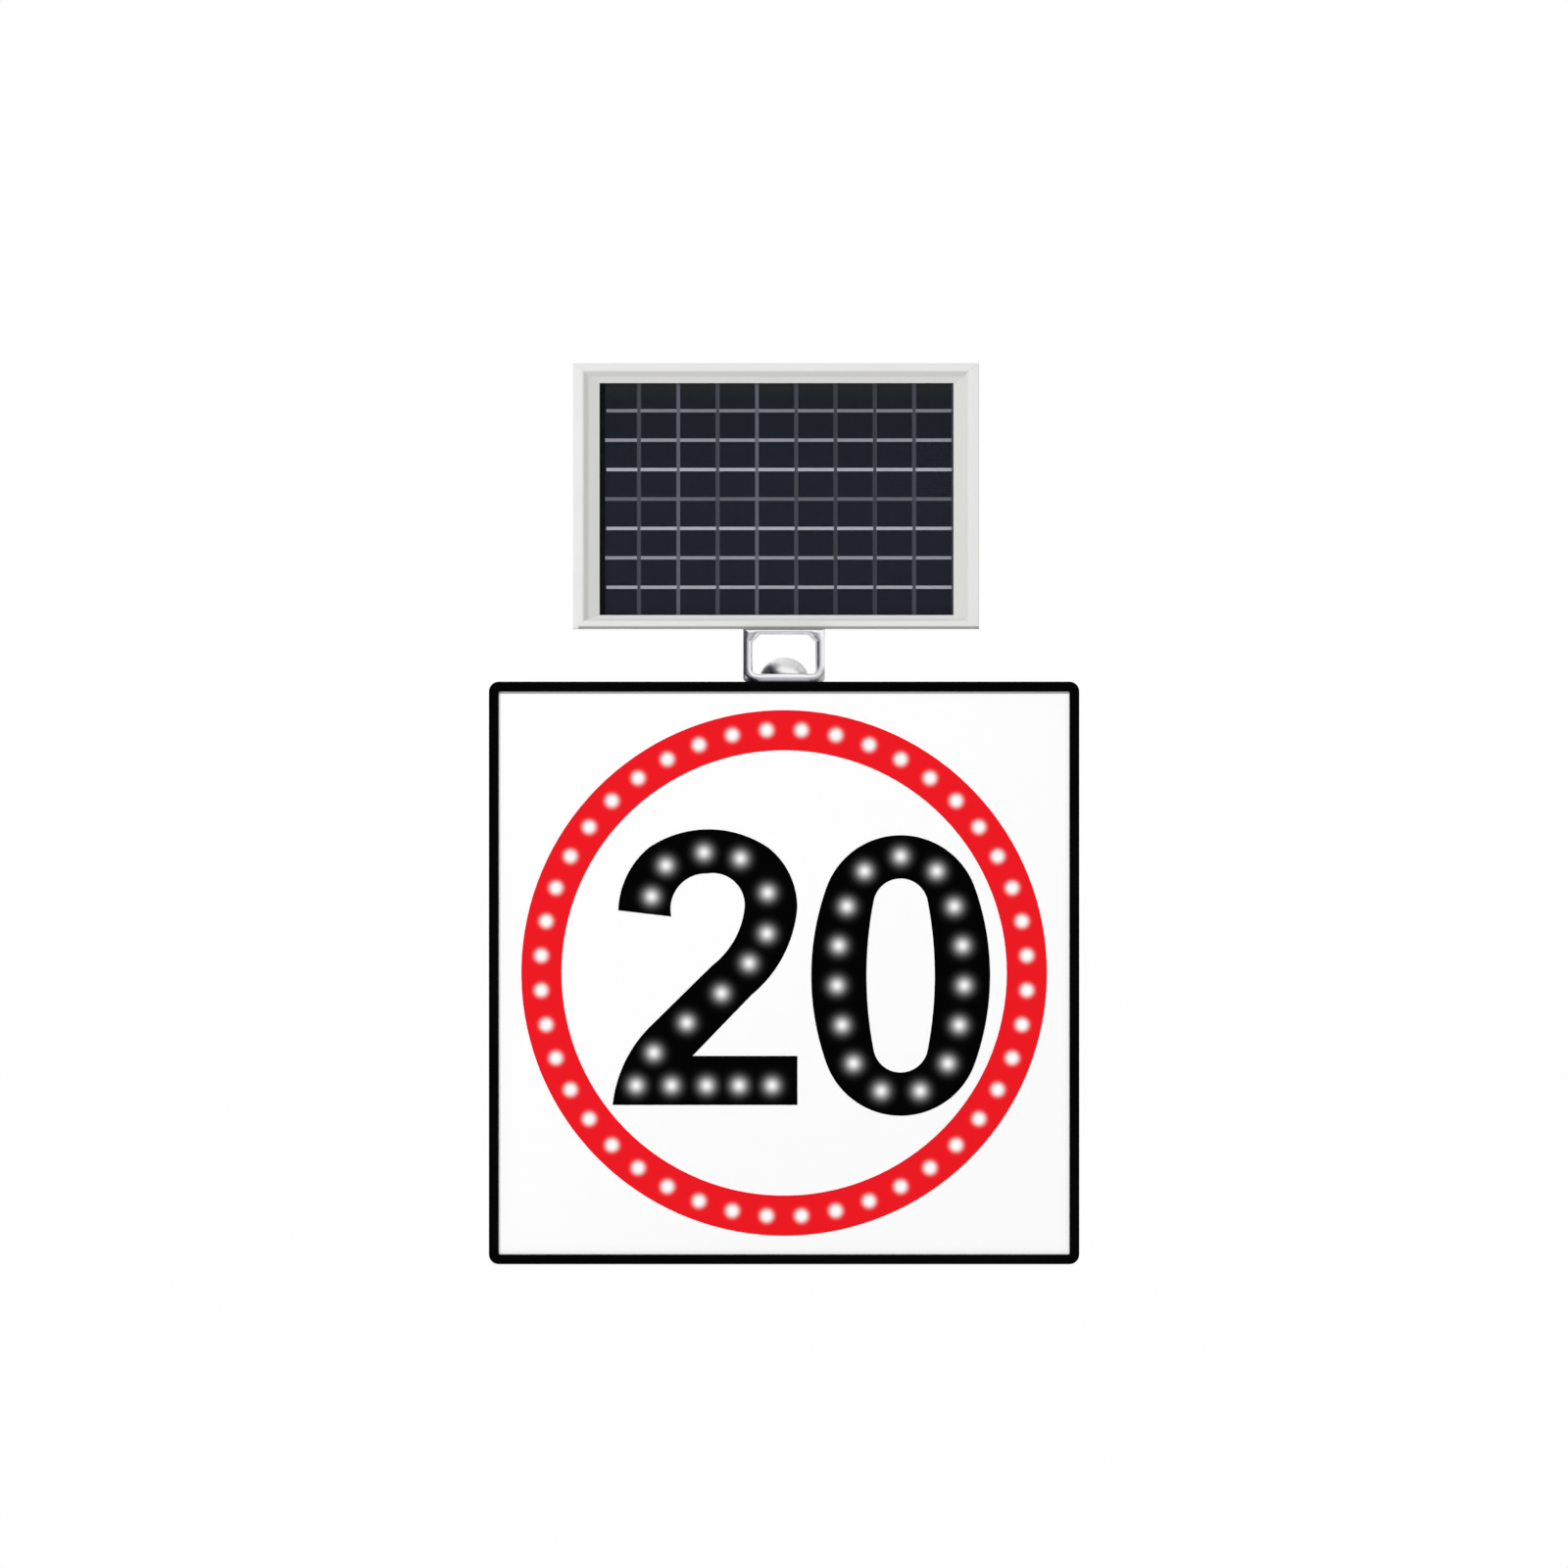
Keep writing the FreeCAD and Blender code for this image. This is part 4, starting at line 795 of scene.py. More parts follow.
@dataclass(frozen=True)
class BackSheet(Finish):
    """Back sheet: white behind; in front dark, with pale strips that show between the rows of cells."""

    matrix: CellMatrix = CellMatrix()
    name: str = "printed_back_sheet"
    rear: Colour = (0.80, 0.80, 0.79)
    rear_shade: Colour = (0.7, 0.7, 0.68)
    dark: Colour = (0.003, 0.003, 0.004)
    between_rows: Colour = (0.32, 0.325, 0.38)
    between_columns: Colour = (0.128, 0.136, 0.168)
    strip: float = 0.62
    faint: Pair = (32.0 * MM, 112.0 * MM)
    front_level: float = -2.65 * MM

    def lay(self, shader: Shader) -> None:
        """Strips by their place between rows and columns, each with its own strength."""
        x, y, z = shader.axes()
        cells = self.matrix
        across, up = cells.shares(x, z)
        column_line = cells.off_line(across) < cells.gap / cells.wide * self.strip
        row_line = cells.off_line(up) < cells.gap / cells.tall * self.strip
        even = (across + 0.5).floored().wrapped(2.0) < 0.5
        middle_row = abs(up - 2.0) < 0.5
        strips = shader.mix(row_line * (1.0 - 0.55 * middle_row), self.dark, self.between_rows)
        faint = (x > self.faint[0]) * (x < self.faint[1])
        columns = shader.mix(0.53 + 0.45 * even * (x < 0.0) - 0.12 * faint, self.dark, self.between_columns)
        # Painted shadow: left of the first column the back sheet stays dark, as the shadow of the frame's
        # left side.
        printed = shader.mix(x > cells.painted_shadow_end, self.dark, shader.mix(column_line, strips, columns))
        cloud = shader.noise(20.0, 3.0)
        rear = shader.mix(cloud * 0.2, self.rear, self.rear_shade)
        shader.finish({
            "Base Color": shader.mix(y > self.front_level, printed, rear),
            "Roughness": 0.42 + 0.15 * cloud,
            "Specular IOR Level": 0.03,
            "Normal": shader.bump(shader.noise(500.0), 0.00003),
        })


@dataclass(frozen=True)
class SolarGlass(Finish):
    """Low-iron glass with a fine rolled texture."""

    name: str = "rolled_solar_glass"
    colour: Colour = (0.015, 0.018, 0.02)
    cover: float = 0.05

    def lay(self, shader: Shader) -> None:
        """Mostly clear; the rolled texture is in normal and roughness."""
        texture = shader.noise(650.0, 2.0)
        shader.finish({
            "Base Color": shader.mix(texture, self.colour, scaled(self.colour, 1.3)),
            "Alpha": self.cover,
            "Roughness": 0.04 + 0.06 * texture,
            "Specular IOR Level": 0.5,
            "Normal": shader.bump(texture, 0.00001),
        })


ZINC = ZincSteel()
DRAWN = DrawnAluminium()
CAST = CastAluminium()
PAINT = PowderPaint()
REAR_PAINT = PowderPaint(
    "black_rear_paint", (0.004, 0.004, 0.0044), (0.009, 0.009, 0.0095), gloss=0.25, peel=0.00006,
)
PLASTIC = Moulded("black_moulding", (0.010, 0.010, 0.011), (0.016, 0.016, 0.017))
RUBBER = Moulded(
    "gasket_rubber", (0.012, 0.012, 0.012), (0.02, 0.02, 0.02), roughness=0.7, grain=0.0001, gloss=0.2,
)
BATTERY = Moulded(
    "battery_moulding", (0.02, 0.03, 0.075), (0.03, 0.042, 0.095), roughness=0.4, grain=0.00004,
)


# Surfaces


@dataclass
class Surface:
    """Points and faces of closed surfaces, in metres. Each block of faces has one number of corners."""

    points: Array
    faces: list[Array]

    def moved(self, x: float = 0.0, y: float = 0.0, z: float = 0.0) -> "Surface":
        """The same surface somewhere else."""
        return Surface(self.points + np.array([x, y, z]), self.faces)

    def along_y(self, sign: float = 1.0) -> "Surface":
        """The surface with its Z axis laid along Y, towards +Y or -Y."""
        x, y, z = self.points.T
        return Surface(np.stack([x, sign * z, y], axis=-1), self.faces)


def united(parts: Iterable[Surface]) -> Surface:
    """Several surfaces as one.

    Args:
        parts: The surfaces.

    Returns:
        One surface; each part's faces count on from the points before it.
    """
    points, faces, start = [], [], 0
    for part in parts:
        points.append(part.points)
        faces += [block + start for block in part.faces]
        start += len(part.points)
    return Surface(np.concatenate(points), faces)


def grid(points: Array, loop_rows: bool = False, loop_columns: bool = False, capped: bool = False) -> Surface:
    """Quads between the neighbours on a grid of points.

    Args:
        points: Array of rows by columns by three.
        loop_rows: Joins the last row to the first.
        loop_columns: Joins the last column to the first.
        capped: Closes the first and the last row with one face each.

    Returns:
        The surface.
    """
    rows, columns = points.shape[:2]
    row = np.arange(rows - (not loop_rows))[:, None]
    column = np.arange(columns - (not loop_columns))[None, :]
    below, beside = (row + 1) % rows, (column + 1) % columns
    row, below = row * columns, below * columns
    corners = (row + column, row + beside, below + beside, below + column)
    faces = [np.stack(np.broadcast_arrays(*corners), axis=-1).reshape(-1, 4)]
    if capped:
        ring = np.arange(columns)[None]
        faces += [ring[:, ::-1], ring + (rows - 1) * columns]
    return Surface(points.reshape(-1, 3), faces)


def filleted(corners: Sequence[Pair], radii: Sequence[float], steps: int = 4) -> Array:
    """A polygon with each corner rounded off.

    With a and b the unit vectors from a corner to its neighbours and w the angle between them, the arc
    touches the sides r / tan(w / 2) from the corner, and its centre lies r / sin(w / 2) along a + b. The
    points on it are the slerp of the two radii that end at the sides.

    Args:
        corners: The polygon's corners.
        radii: Radius at each corner.
        steps: Pieces of each arc.

    Returns:
        Array of points by two, in the corners' order.
    """
    here = np.array(corners, dtype=float)
    radius = np.array(radii, dtype=float)[:, None]
    a, b = np.roll(here, 1, axis=0) - here, np.roll(here, -1, axis=0) - here
    a /= np.linalg.norm(a, axis=1, keepdims=True)
    b /= np.linalg.norm(b, axis=1, keepdims=True)
    angle = np.arccos(np.clip((a * b).sum(axis=1, keepdims=True), -1.0, 1.0))
    bisector = (a + b) / np.linalg.norm(a + b, axis=1, keepdims=True)
    centre = here + bisector * radius / np.sin(angle / 2)
    touch = radius / np.tan(angle / 2)
    first, last = here + a * touch - centre, here + b * touch - centre
    sweep = np.pi - angle
    share = np.linspace(0.0, 1.0, steps + 1)[None, :, None]
    sweep3, first3, last3 = sweep[:, None], first[:, None], last[:, None]
    arc = (np.sin((1 - share) * sweep3) * first3 + np.sin(share * sweep3) * last3) / np.sin(sweep3)
    return (centre[:, None] + arc).reshape(-1, 2)


def angles(sides: int) -> Array:
    """Angles evenly round a circle."""
    return np.linspace(0.0, 2 * np.pi, sides, endpoint=False)


def hexagon_reach(apothem: float, turn: Array) -> Array:
    """How far a hexagon reaches at the angle u: apothem / cos((u mod 60) - 30 degrees)."""
    return apothem / np.cos(turn % (np.pi / 3) - np.pi / 6)


def turned(reach: Array, height: Array, turn: Array, loop_rows: bool = False) -> Surface:
    """Rows of points round Z, at (r cos u, r sin u, h).

    Args:
        reach: Radius r of each row at each angle.
        height: Height h, in a shape that spreads over the radii.
        turn: The angles u.
        loop_rows: Joins the last row to the first.

    Returns:
        The surface.
    """
    height = np.broadcast_to(height, reach.shape)
    return grid(np.stack([reach * np.cos(turn), reach * np.sin(turn), height], axis=-1), loop_rows, True)


def cap_profile(foot: float, rise: float, steps: int) -> Array:
    """Profile of the cap of a sphere, from its foot circle at height nought to its top.

    The sphere has the radius R = (foot^2 + rise^2) / (2 rise). At the share s of the cap's angle a the
    profile has the radius R sin(s a) and the height R cos(s a) - R cos(a).

    Args:
        foot: Radius of the foot circle.
        rise: Height of the top.
        steps: Pieces of the profile.

    Returns:
        Array of (radius, height).
    """
    sphere = (foot ** 2 + rise ** 2) / (2 * rise)
    angle = math.asin(foot / sphere) * np.linspace(1.0, 0.0, steps + 1)
    return np.stack([sphere * np.sin(angle), sphere * (np.cos(angle) - math.cos(angle[0]))], axis=-1)


def revolved(
    profile: Array, sides: int, ribs: int = 0, rib: float = 0.0, ribbed: Pair = (0.0, 0.0)
) -> Surface:
    """A profile of (radius, height) turned about Z.

    A point is (r cos u, r sin u, h). Between two heights the radius has ribs: r (1 + rib cos(ribs u)).

    Args:
        profile: Array of points by two; radii of nought close the ends.
        sides: Points round the axis.
        ribs: Number of ribs.
        rib: Height of a rib as a share of the radius.
        ribbed: Lower and upper height that the ribs lie between.

    Returns:
        The surface.
    """
    radius, height = (column[:, None] for column in np.asarray(profile, dtype=float).T)
    turn = angles(sides)
    on = (height >= ribbed[0]) & (height <= ribbed[1])
    reach = radius * (1 + np.where(on, rib * np.cos(ribs * turn), 0.0))
    return turned(reach, height, turn)


def tube(profile: Array, sides: int, ribs: int = 0, rib: float = 0.0, ribbed: Pair = (0.0, 0.0)) -> Surface:
    """A closed profile of (radius, height) turned about Z, which leaves a hole. See revolved."""
    return revolved(np.concatenate([profile, profile[:1]]), sides, ribs, rib, ribbed)


def hexagonal(corner: float, height: float, bore: float = 0.0, sides: int = 48) -> Surface:
    """A hexagonal head or nut about Z with its corners turned off.

    A cone of 30 degrees that starts at 0.95 of the apothem on the end face cuts the hexagon's corners, and
    the lesser reach counts. A nut is cut at both ends.

    Args:
        corner: Radius to the corners.
        height: Height of the head.
        bore: Radius of the hole of a nut, or nought for a head.
        sides: Points round the axis.

    Returns:
        The surface, from height nought to height.
    """
    apothem = corner * math.cos(math.pi / 6)
    flat_face = 0.95 * apothem
    slope = math.tan(math.pi / 6)
    turn = angles(sides)
    rise = np.linspace(0.0, (corner - flat_face) * slope, 5)
    levels = np.concatenate([rise if bore else np.zeros(1), height - rise[::-1]])
    to_end = np.minimum(height - levels, levels) if bore else height - levels
    reach = np.minimum(hexagon_reach(apothem, turn), (flat_face + to_end / slope)[:, None])
    inner = np.full((1, sides), bore)
    levels = np.concatenate([[0.0], levels, [height]])
    return turned(np.concatenate([inner, reach, inner]), levels[:, None], turn, bore > 0.0)


def threaded(radius: float, low: float, high: float, pitch: float = 1.25 * MM, sides: int = 16) -> Surface:
    """A threaded rod about Z.

    At height h and angle u the radius is r minus the depth times the triangle wave of h / pitch - u / 2 pi,
    and it shrinks to nought past each end.

    Args:
        radius: Outer radius.
        low: Lower end.
        high: Upper end.
        pitch: Rise of the thread in a turn.
        sides: Points round the axis.

    Returns:
        The closed surface.
    """
    rows = max(8, int((high - low) / pitch * 4))
    depth, chamfer = 0.48 * pitch, 0.6 * MM
    height = np.linspace(low, high, rows)[:, None]
    turn = angles(sides)
    wave = np.abs((height / pitch - turn / (2 * np.pi)) % 1.0 - 0.5) * 2.0
    end = np.minimum(height - low, high - height)
    reach = radius - depth * wave - np.maximum(0.0, chamfer - end)
    closed = np.zeros((1, sides))
    height = np.concatenate([height[:1], height, height[-1:]])
    return turned(np.concatenate([closed, reach, closed]), height, turn)


def slab(x0: Array, x1: Array, z0: Array, z1: Array, front: float, back: float, clip: float) -> Surface:
    """Flat pieces with clipped corners, side by side, as one surface.

    Each piece is an octagon in X and Z: the rectangle with its corners clipped, at the front and the back.

    Args:
        x0: Left edge of each piece.
        x1: Right edges.
        z0: Lower edges.
        z1: Upper edges.
        front: Place of the front along Y.
        back: Place of the back.
        clip: Length cut from each side at a corner.

    Returns:
        The surface.
    """
    c = clip
    x = np.stack([x0 + c, x1 - c, x1, x1, x1 - c, x0 + c, x0, x0], axis=-1)
    z = np.stack([z0, z0, z0 + c, z1 - c, z1, z1, z1 - c, z0 + c], axis=-1)
    rim = 0.25 * (back - front)
    side_x, side_z = (np.sign(a - a.mean(axis=1, keepdims=True)) for a in (x, z))
    rings = np.stack([
        np.stack([x - side_x * inset, np.full_like(x, depth), z - side_z * inset], axis=-1)
        for depth, inset in ((front, rim), (front + rim, 0.0), (back, 0.0))
    ], axis=1)
    one = grid(rings[0], loop_columns=True, capped=True)
    starts = len(one.points) * np.arange(len(x))[:, None, None]
    faces = [(block + starts).reshape(-1, block.shape[1]) for block in one.faces]
    return Surface(rings.reshape(-1, 3), faces)


def islands(node: str) -> list[Span]:
    """Lowest and highest corner of each separate solid of a CAD node.

    Points in one place get one number. Every triangle then passes its lowest label to its corners, until
    nothing changes, and the points that end with one label are one solid.

    Args:
        node: Name of the node.

    Returns:
        One pair of corners for each solid.
    """
    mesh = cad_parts[node].data
    points = np.empty(len(mesh.vertices) * 3)
    mesh.vertices.foreach_get("co", points)
    points = points.reshape(-1, 3)
    mesh.calc_loop_triangles()
    triangles = np.empty(len(mesh.loop_triangles) * 3, dtype=np.int64)
    mesh.loop_triangles.foreach_get("vertices", triangles)
    unique, number = np.unique(np.round(points * 1e5).astype(np.int64), axis=0, return_inverse=True)
    number = number.reshape(-1)
    triangles = number[triangles.reshape(-1, 3)]
    label, before = np.arange(len(unique)), None
    while before is None or (label != before).any():
        before = label.copy()
        lowest = label[triangles].min(axis=1)
        for corner in triangles.T:
            np.minimum.at(label, corner, lowest)
        label = label[label]
    owner = label[number]
    return [(points[owner == one].min(axis=0), points[owner == one].max(axis=0)) for one in np.unique(owner)]


def middles(node: str) -> list[Array]:
    """Middle of each separate solid of a CAD node."""
    return [(low + high) / 2 for low, high in islands(node)]


def box_of(node: str) -> Span:
    """Lowest and highest corner of a CAD node as arrays."""
    low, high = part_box(node)
    return np.array(low), np.array(high)


# Objects


def mend(mesh: bpy.types.Mesh, distance: float, flat: bool = False) -> None:
    """Merges points in one place, turns the faces outwards and can join faces in one plane.

    Args:
        mesh: The mesh.
        distance: Points nearer than this are merged.
        flat: Joins neighbouring faces that lie in one plane.
    """
    work = bmesh.new()
    work.from_mesh(mesh)
    bmesh.ops.remove_doubles(work, verts=work.verts, dist=distance)
    bmesh.ops.dissolve_degenerate(work, dist=distance / 10, edges=work.edges)
    if flat:
        bmesh.ops.dissolve_limit(work, angle_limit=math.radians(0.5), verts=work.verts, edges=work.edges)
    bmesh.ops.recalc_face_normals(work, faces=work.faces)
    work.to_mesh(mesh)
    work.free()


def mesh_of(name: str, surface: Surface) -> bpy.types.Mesh:
    """The mesh of a surface, merged and with its faces outwards."""
    mesh = bpy.data.meshes.new(name)
    faces = [face for block in surface.faces for face in block.tolist()]
    mesh.from_pydata(surface.points.tolist(), [], faces)
    mend(mesh, MERGE)
    return mesh


def shade(mesh: bpy.types.Mesh, sharp: float) -> None:
    """Smooth shading that breaks at edges sharper than an angle in degrees."""
    mesh.shade_smooth()
    mesh.set_sharp_from_angle(angle=math.radians(sharp))


def weighted(made: bpy.types.Object) -> None:
    """Lets broad faces decide how the narrow roundings beside them are shaded."""
    made.modifiers.new("broad_faces", "WEIGHTED_NORMAL").keep_sharp = True


def placed(
    mesh: bpy.types.Mesh, finish: Finish, body: Body, stands_for: Sequence[str]
) -> bpy.types.Object:
    """Makes the object of a mesh, dresses it and sets it on its body.

    Args:
        mesh: The mesh, in its place.
        finish: Its finish.
        body: The body that it rides on.
        stands_for: CAD nodes that it replaces.

    Returns:
        The object.
    """
    mesh.materials.clear()
    mesh.materials.append(finish.material())
    made = bpy.data.objects.new(mesh.name, mesh)
    bpy.context.scene.collection.objects.link(made)
    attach(made, body.value)
    if stands_for:
        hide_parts(*stands_for)
    LOG.info("%s on %s: %d faces", made.name, body.value, len(mesh.polygons))
    return made


def build(
    name: str, surface: Surface, finish: Finish, body: Body,
    stands_for: Sequence[str] = (), sharp: float = SHARP, broad: bool = True,
) -> bpy.types.Object:
    """Makes one piece from a surface.

    Args:
        name: Name of the piece.
        surface: Its surface.
        finish: Its finish.
        body: The body that it rides on.
        stands_for: CAD nodes that it replaces.
        sharp: Edges sharper than this many degrees stay sharp.
        broad: Weighs the shading by the size of the faces.

    Returns:
        The object.
    """
    mesh = mesh_of(name, surface)
    shade(mesh, sharp)
    made = placed(mesh, finish, body, stands_for)
    if broad:
        weighted(made)
    return made


def softened(
    node: str, finish: Finish, body: Body, width: float = 0.5 * MM, steps: int = 2
) -> bpy.types.Object:
    """A copy of a CAD solid in its place, with its edges rounded off.

    Args:
        node: The CAD node that it stands for.
        finish: Its finish.
        body: The body that it rides on.
        width: Width of the rounding.
        steps: Faces across the rounding.

    Returns:
        The object.
    """
    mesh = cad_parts[node].data.copy()
    mesh.name = f"{node}_finished"
    mend(mesh, 1e-5, flat=True)
    mesh.shade_smooth()
    made = placed(mesh, finish, body, [node])
    rounding = made.modifiers.new("rounded_edges", "BEVEL")
    rounding.width, rounding.segments = width, steps
    rounding.limit_method, rounding.angle_limit = "ANGLE", math.radians(32.0)
    weighted(made)
    return made


def dress(node: str, finish: Finish) -> None:
    """Gives a CAD node that stays a finish in all its slots."""
    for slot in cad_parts[node].material_slots:
        slot.material = finish.material()
    LOG.info("%s keeps its solid, with %s", node, finish.name)


def cut_away(made: bpy.types.Object, cutter: Surface) -> None:
    """Cuts a closed surface out of an object's mesh.

    Args:
        made: The object.
        cutter: The surface that is taken away.
    """
    tool = bpy.data.objects.new("cutter", mesh_of("cutter", cutter))
    bpy.context.scene.collection.objects.link(tool)
    step = made.modifiers.new("cut", "BOOLEAN")
    step.operation, step.solver, step.object = "DIFFERENCE", "EXACT", tool
    made.modifiers.move(len(made.modifiers) - 1, 0)
    bpy.context.view_layer.update()
    graph = bpy.context.evaluated_depsgraph_get()
    solid = bpy.data.meshes.new_from_object(made.evaluated_get(graph), depsgraph=graph)
    old = made.data
    made.modifiers.clear()
    solid.name = old.name
    made.data = solid
    bpy.data.objects.remove(tool)
    mend(solid, MERGE)
    shade(solid, SHARP)
    weighted(made)


# Sub-assemblies


@dataclass
class Housing:
    """Folded sheet box with its rear cover, gasket, screws and cable gland."""

    lip: float = 10.0 * MM
    sheet: float = 2.0 * MM
    flange: float = 20.0 * MM
    bend: float = 2.6 * MM
    corner: float = 10.0 * MM
    least_corner: float = 1.2 * MM
    arc_steps: int = 9
    gland_corner: float = 13.0 * MM

    def section(self, half_depth: float) -> Array:
        """The sheet's closed section, as inset from the outline and place along Y.

        Args:
            half_depth: Half the depth of the housing.

        Returns:
            Array of points by two: lip, wall and flange with rounded bends.
        """
        front, back, t = -half_depth, half_depth, self.sheet
        edge = 0.35 * MM
        corners = [
            (0.0, front), (self.lip, front), (self.lip, front + t), (t, front + t),
            (t, back - t), (self.flange, back - t), (self.flange, back), (0.0, back),
        ]
        radii = [self.bend, edge, edge, 0.6 * MM, 0.6 * MM, edge, edge, self.bend]
        return filleted(corners, radii)

    def carried(self, section: Array, low: Array, high: Array) -> Surface:
        """The section carried round a rounded rectangle.

        A point at inset s lies on the rectangle drawn in by s, whose corners have the radius corner - s but
        not less than the least one: centre of the arc plus radius times (cos u, sin u).

        Args:
            section: Array of (inset, place along Y).
            low: Lowest corner of the housing.
            high: Highest corner.

        Returns:
            The closed surface.
        """
        inset, depth = (column[:, None] for column in section.T)
        radius = np.maximum(self.corner - inset, self.least_corner)
        turn = (np.arange(4)[:, None] * np.pi / 2 + np.linspace(0, np.pi / 2, self.arc_steps)).reshape(1, -1)
        right = np.repeat([1.0, -1.0, -1.0, 1.0], self.arc_steps)[None]
        upper = np.repeat([1.0, 1.0, -1.0, -1.0], self.arc_steps)[None]
        half_x, _, half_z = (high - low) / 2
        middle_x, _, middle_z = (high + low) / 2
        x = middle_x + right * (half_x - inset - radius) + radius * np.cos(turn)
        z = middle_z + upper * (half_z - inset - radius) + radius * np.sin(turn)
        return grid(np.stack([x, np.broadcast_to(depth, x.shape), z], axis=-1), True, True)

    def build_shell(self) -> None:
        """Box with lip and flange; behind the front bend the paint is as on the rear cover."""
        low, high = box_of("housing_shell")
        shell = self.carried(self.section((high[1] - low[1]) / 2), low, high)
        mesh = build("housing_box", shell, PAINT, Body.HOUSING, ["housing_shell"]).data
        mesh.materials.append(REAR_PAINT.material())
        centres = np.empty(len(mesh.polygons) * 3)
        mesh.polygons.foreach_get("center", centres)
        behind = centres.reshape(-1, 3)[:, 1] > low[1] + self.bend
        mesh.polygons.foreach_set("material_index", behind.astype(np.int32))

    def build_rear(self) -> None:
        """Cover, gasket and cover screws."""
        softened("rear_cover", REAR_PAINT, Body.HOUSING, width=0.6 * MM)
        dress("rear_gasket", RUBBER)
        screws, seat = [], box_of("rear_cover")[1][1]
        for low, high in islands("cover_screws"):
            x, _, z = (low + high) / 2
            screws.append(united(self.screw(high[1] - seat, seat - low[1])).along_y().moved(x, seat, z))
        build("socket_cover_screws", united(screws), ZINC, Body.HOUSING, ["cover_screws"])

    @staticmethod
    def screw(rise: float, reach: float) -> list[Surface]:
        """Button head with a hexagonal socket, and its shank.

        Args:
            rise: Height of the head.
            reach: Length of the shank under the head.

        Returns:
            Head above nought and shank below it.
        """
        turn = angles(36)
        levels = np.array([0.0, 0.0, 0.12, 0.45, 0.74, 0.92, 1.0, 1.0, 0.45, 0.45])[:, None] * rise
        radii = np.array([0.0, 4.4, 4.5, 4.45, 3.9, 3.1, 2.35, 0.0, 0.0, 0.0])[:, None] * MM
        in_socket = np.array([0, 0, 0, 0, 0, 0, 0, 1, 1, 0])[:, None] == 1
        head = turned(np.where(in_socket, hexagon_reach(1.6 * MM, turn), radii), levels, turn)
        return [head, threaded(2.5 * MM, -reach, 0.1 * MM, 0.8 * MM, 12)]

    def build_gland(self) -> None:
        """Cable gland through the cover: hexagon, ribbed dome nut, rubber seal, and locknut inside."""
        low, high = box_of("housing_gland")
        seat = box_of("rear_cover")[1][1]
        x, _, z = (low + high) / 2
        hexagon = hexagonal(self.gland_corner, 5.0 * MM, 6.0 * MM)
        nut = np.array([
            (5.0, 5.0), (9.4, 5.0), (9.9, 5.6), (9.9, 12.0), (9.2, 14.0), (7.4, 16.6), (6.0, 17.6),
            (4.6, 18.0), (4.3, 17.2), (4.9, 15.0),
        ]) * MM
        nut[:, 1] = np.minimum(nut[:, 1], high[1] - seat)
        cap = tube(nut, 72, 18, 0.03, (5.5 * MM, 12.1 * MM))
        stub = tube(np.array([(6.0, -10.0), (8.6, -10.0), (9.0, -9.6), (9.0, 0.2), (6.0, 0.2)]) * MM, 48)
        parts = united([hexagon, cap, stub]).along_y().moved(x, seat, z)
        build("cover_gland", parts, PLASTIC, Body.HOUSING, ["housing_gland"])
        lips = np.array([(3.5, 4.0), (5.2, 4.0), (5.2, 16.4), (4.6, 17.2), (3.9, 17.2), (3.5, 16.6)]) * MM
        seal = tube(lips, 32)
        build("gland_seal", seal.along_y().moved(x, seat, z), RUBBER, Body.HOUSING)
        low, high = box_of("gland_locknut")
        ring = hexagonal(self.gland_corner, high[1] - low[1], 9.05 * MM).along_y().moved(x, low[1], z)
        build("gland_ring_nut", ring, PLASTIC, Body.HOUSING, ["gland_locknut"])

    def build_all(self) -> None:
        """Every piece of the housing."""
        self.build_shell()
        self.build_rear()
        self.build_gland()


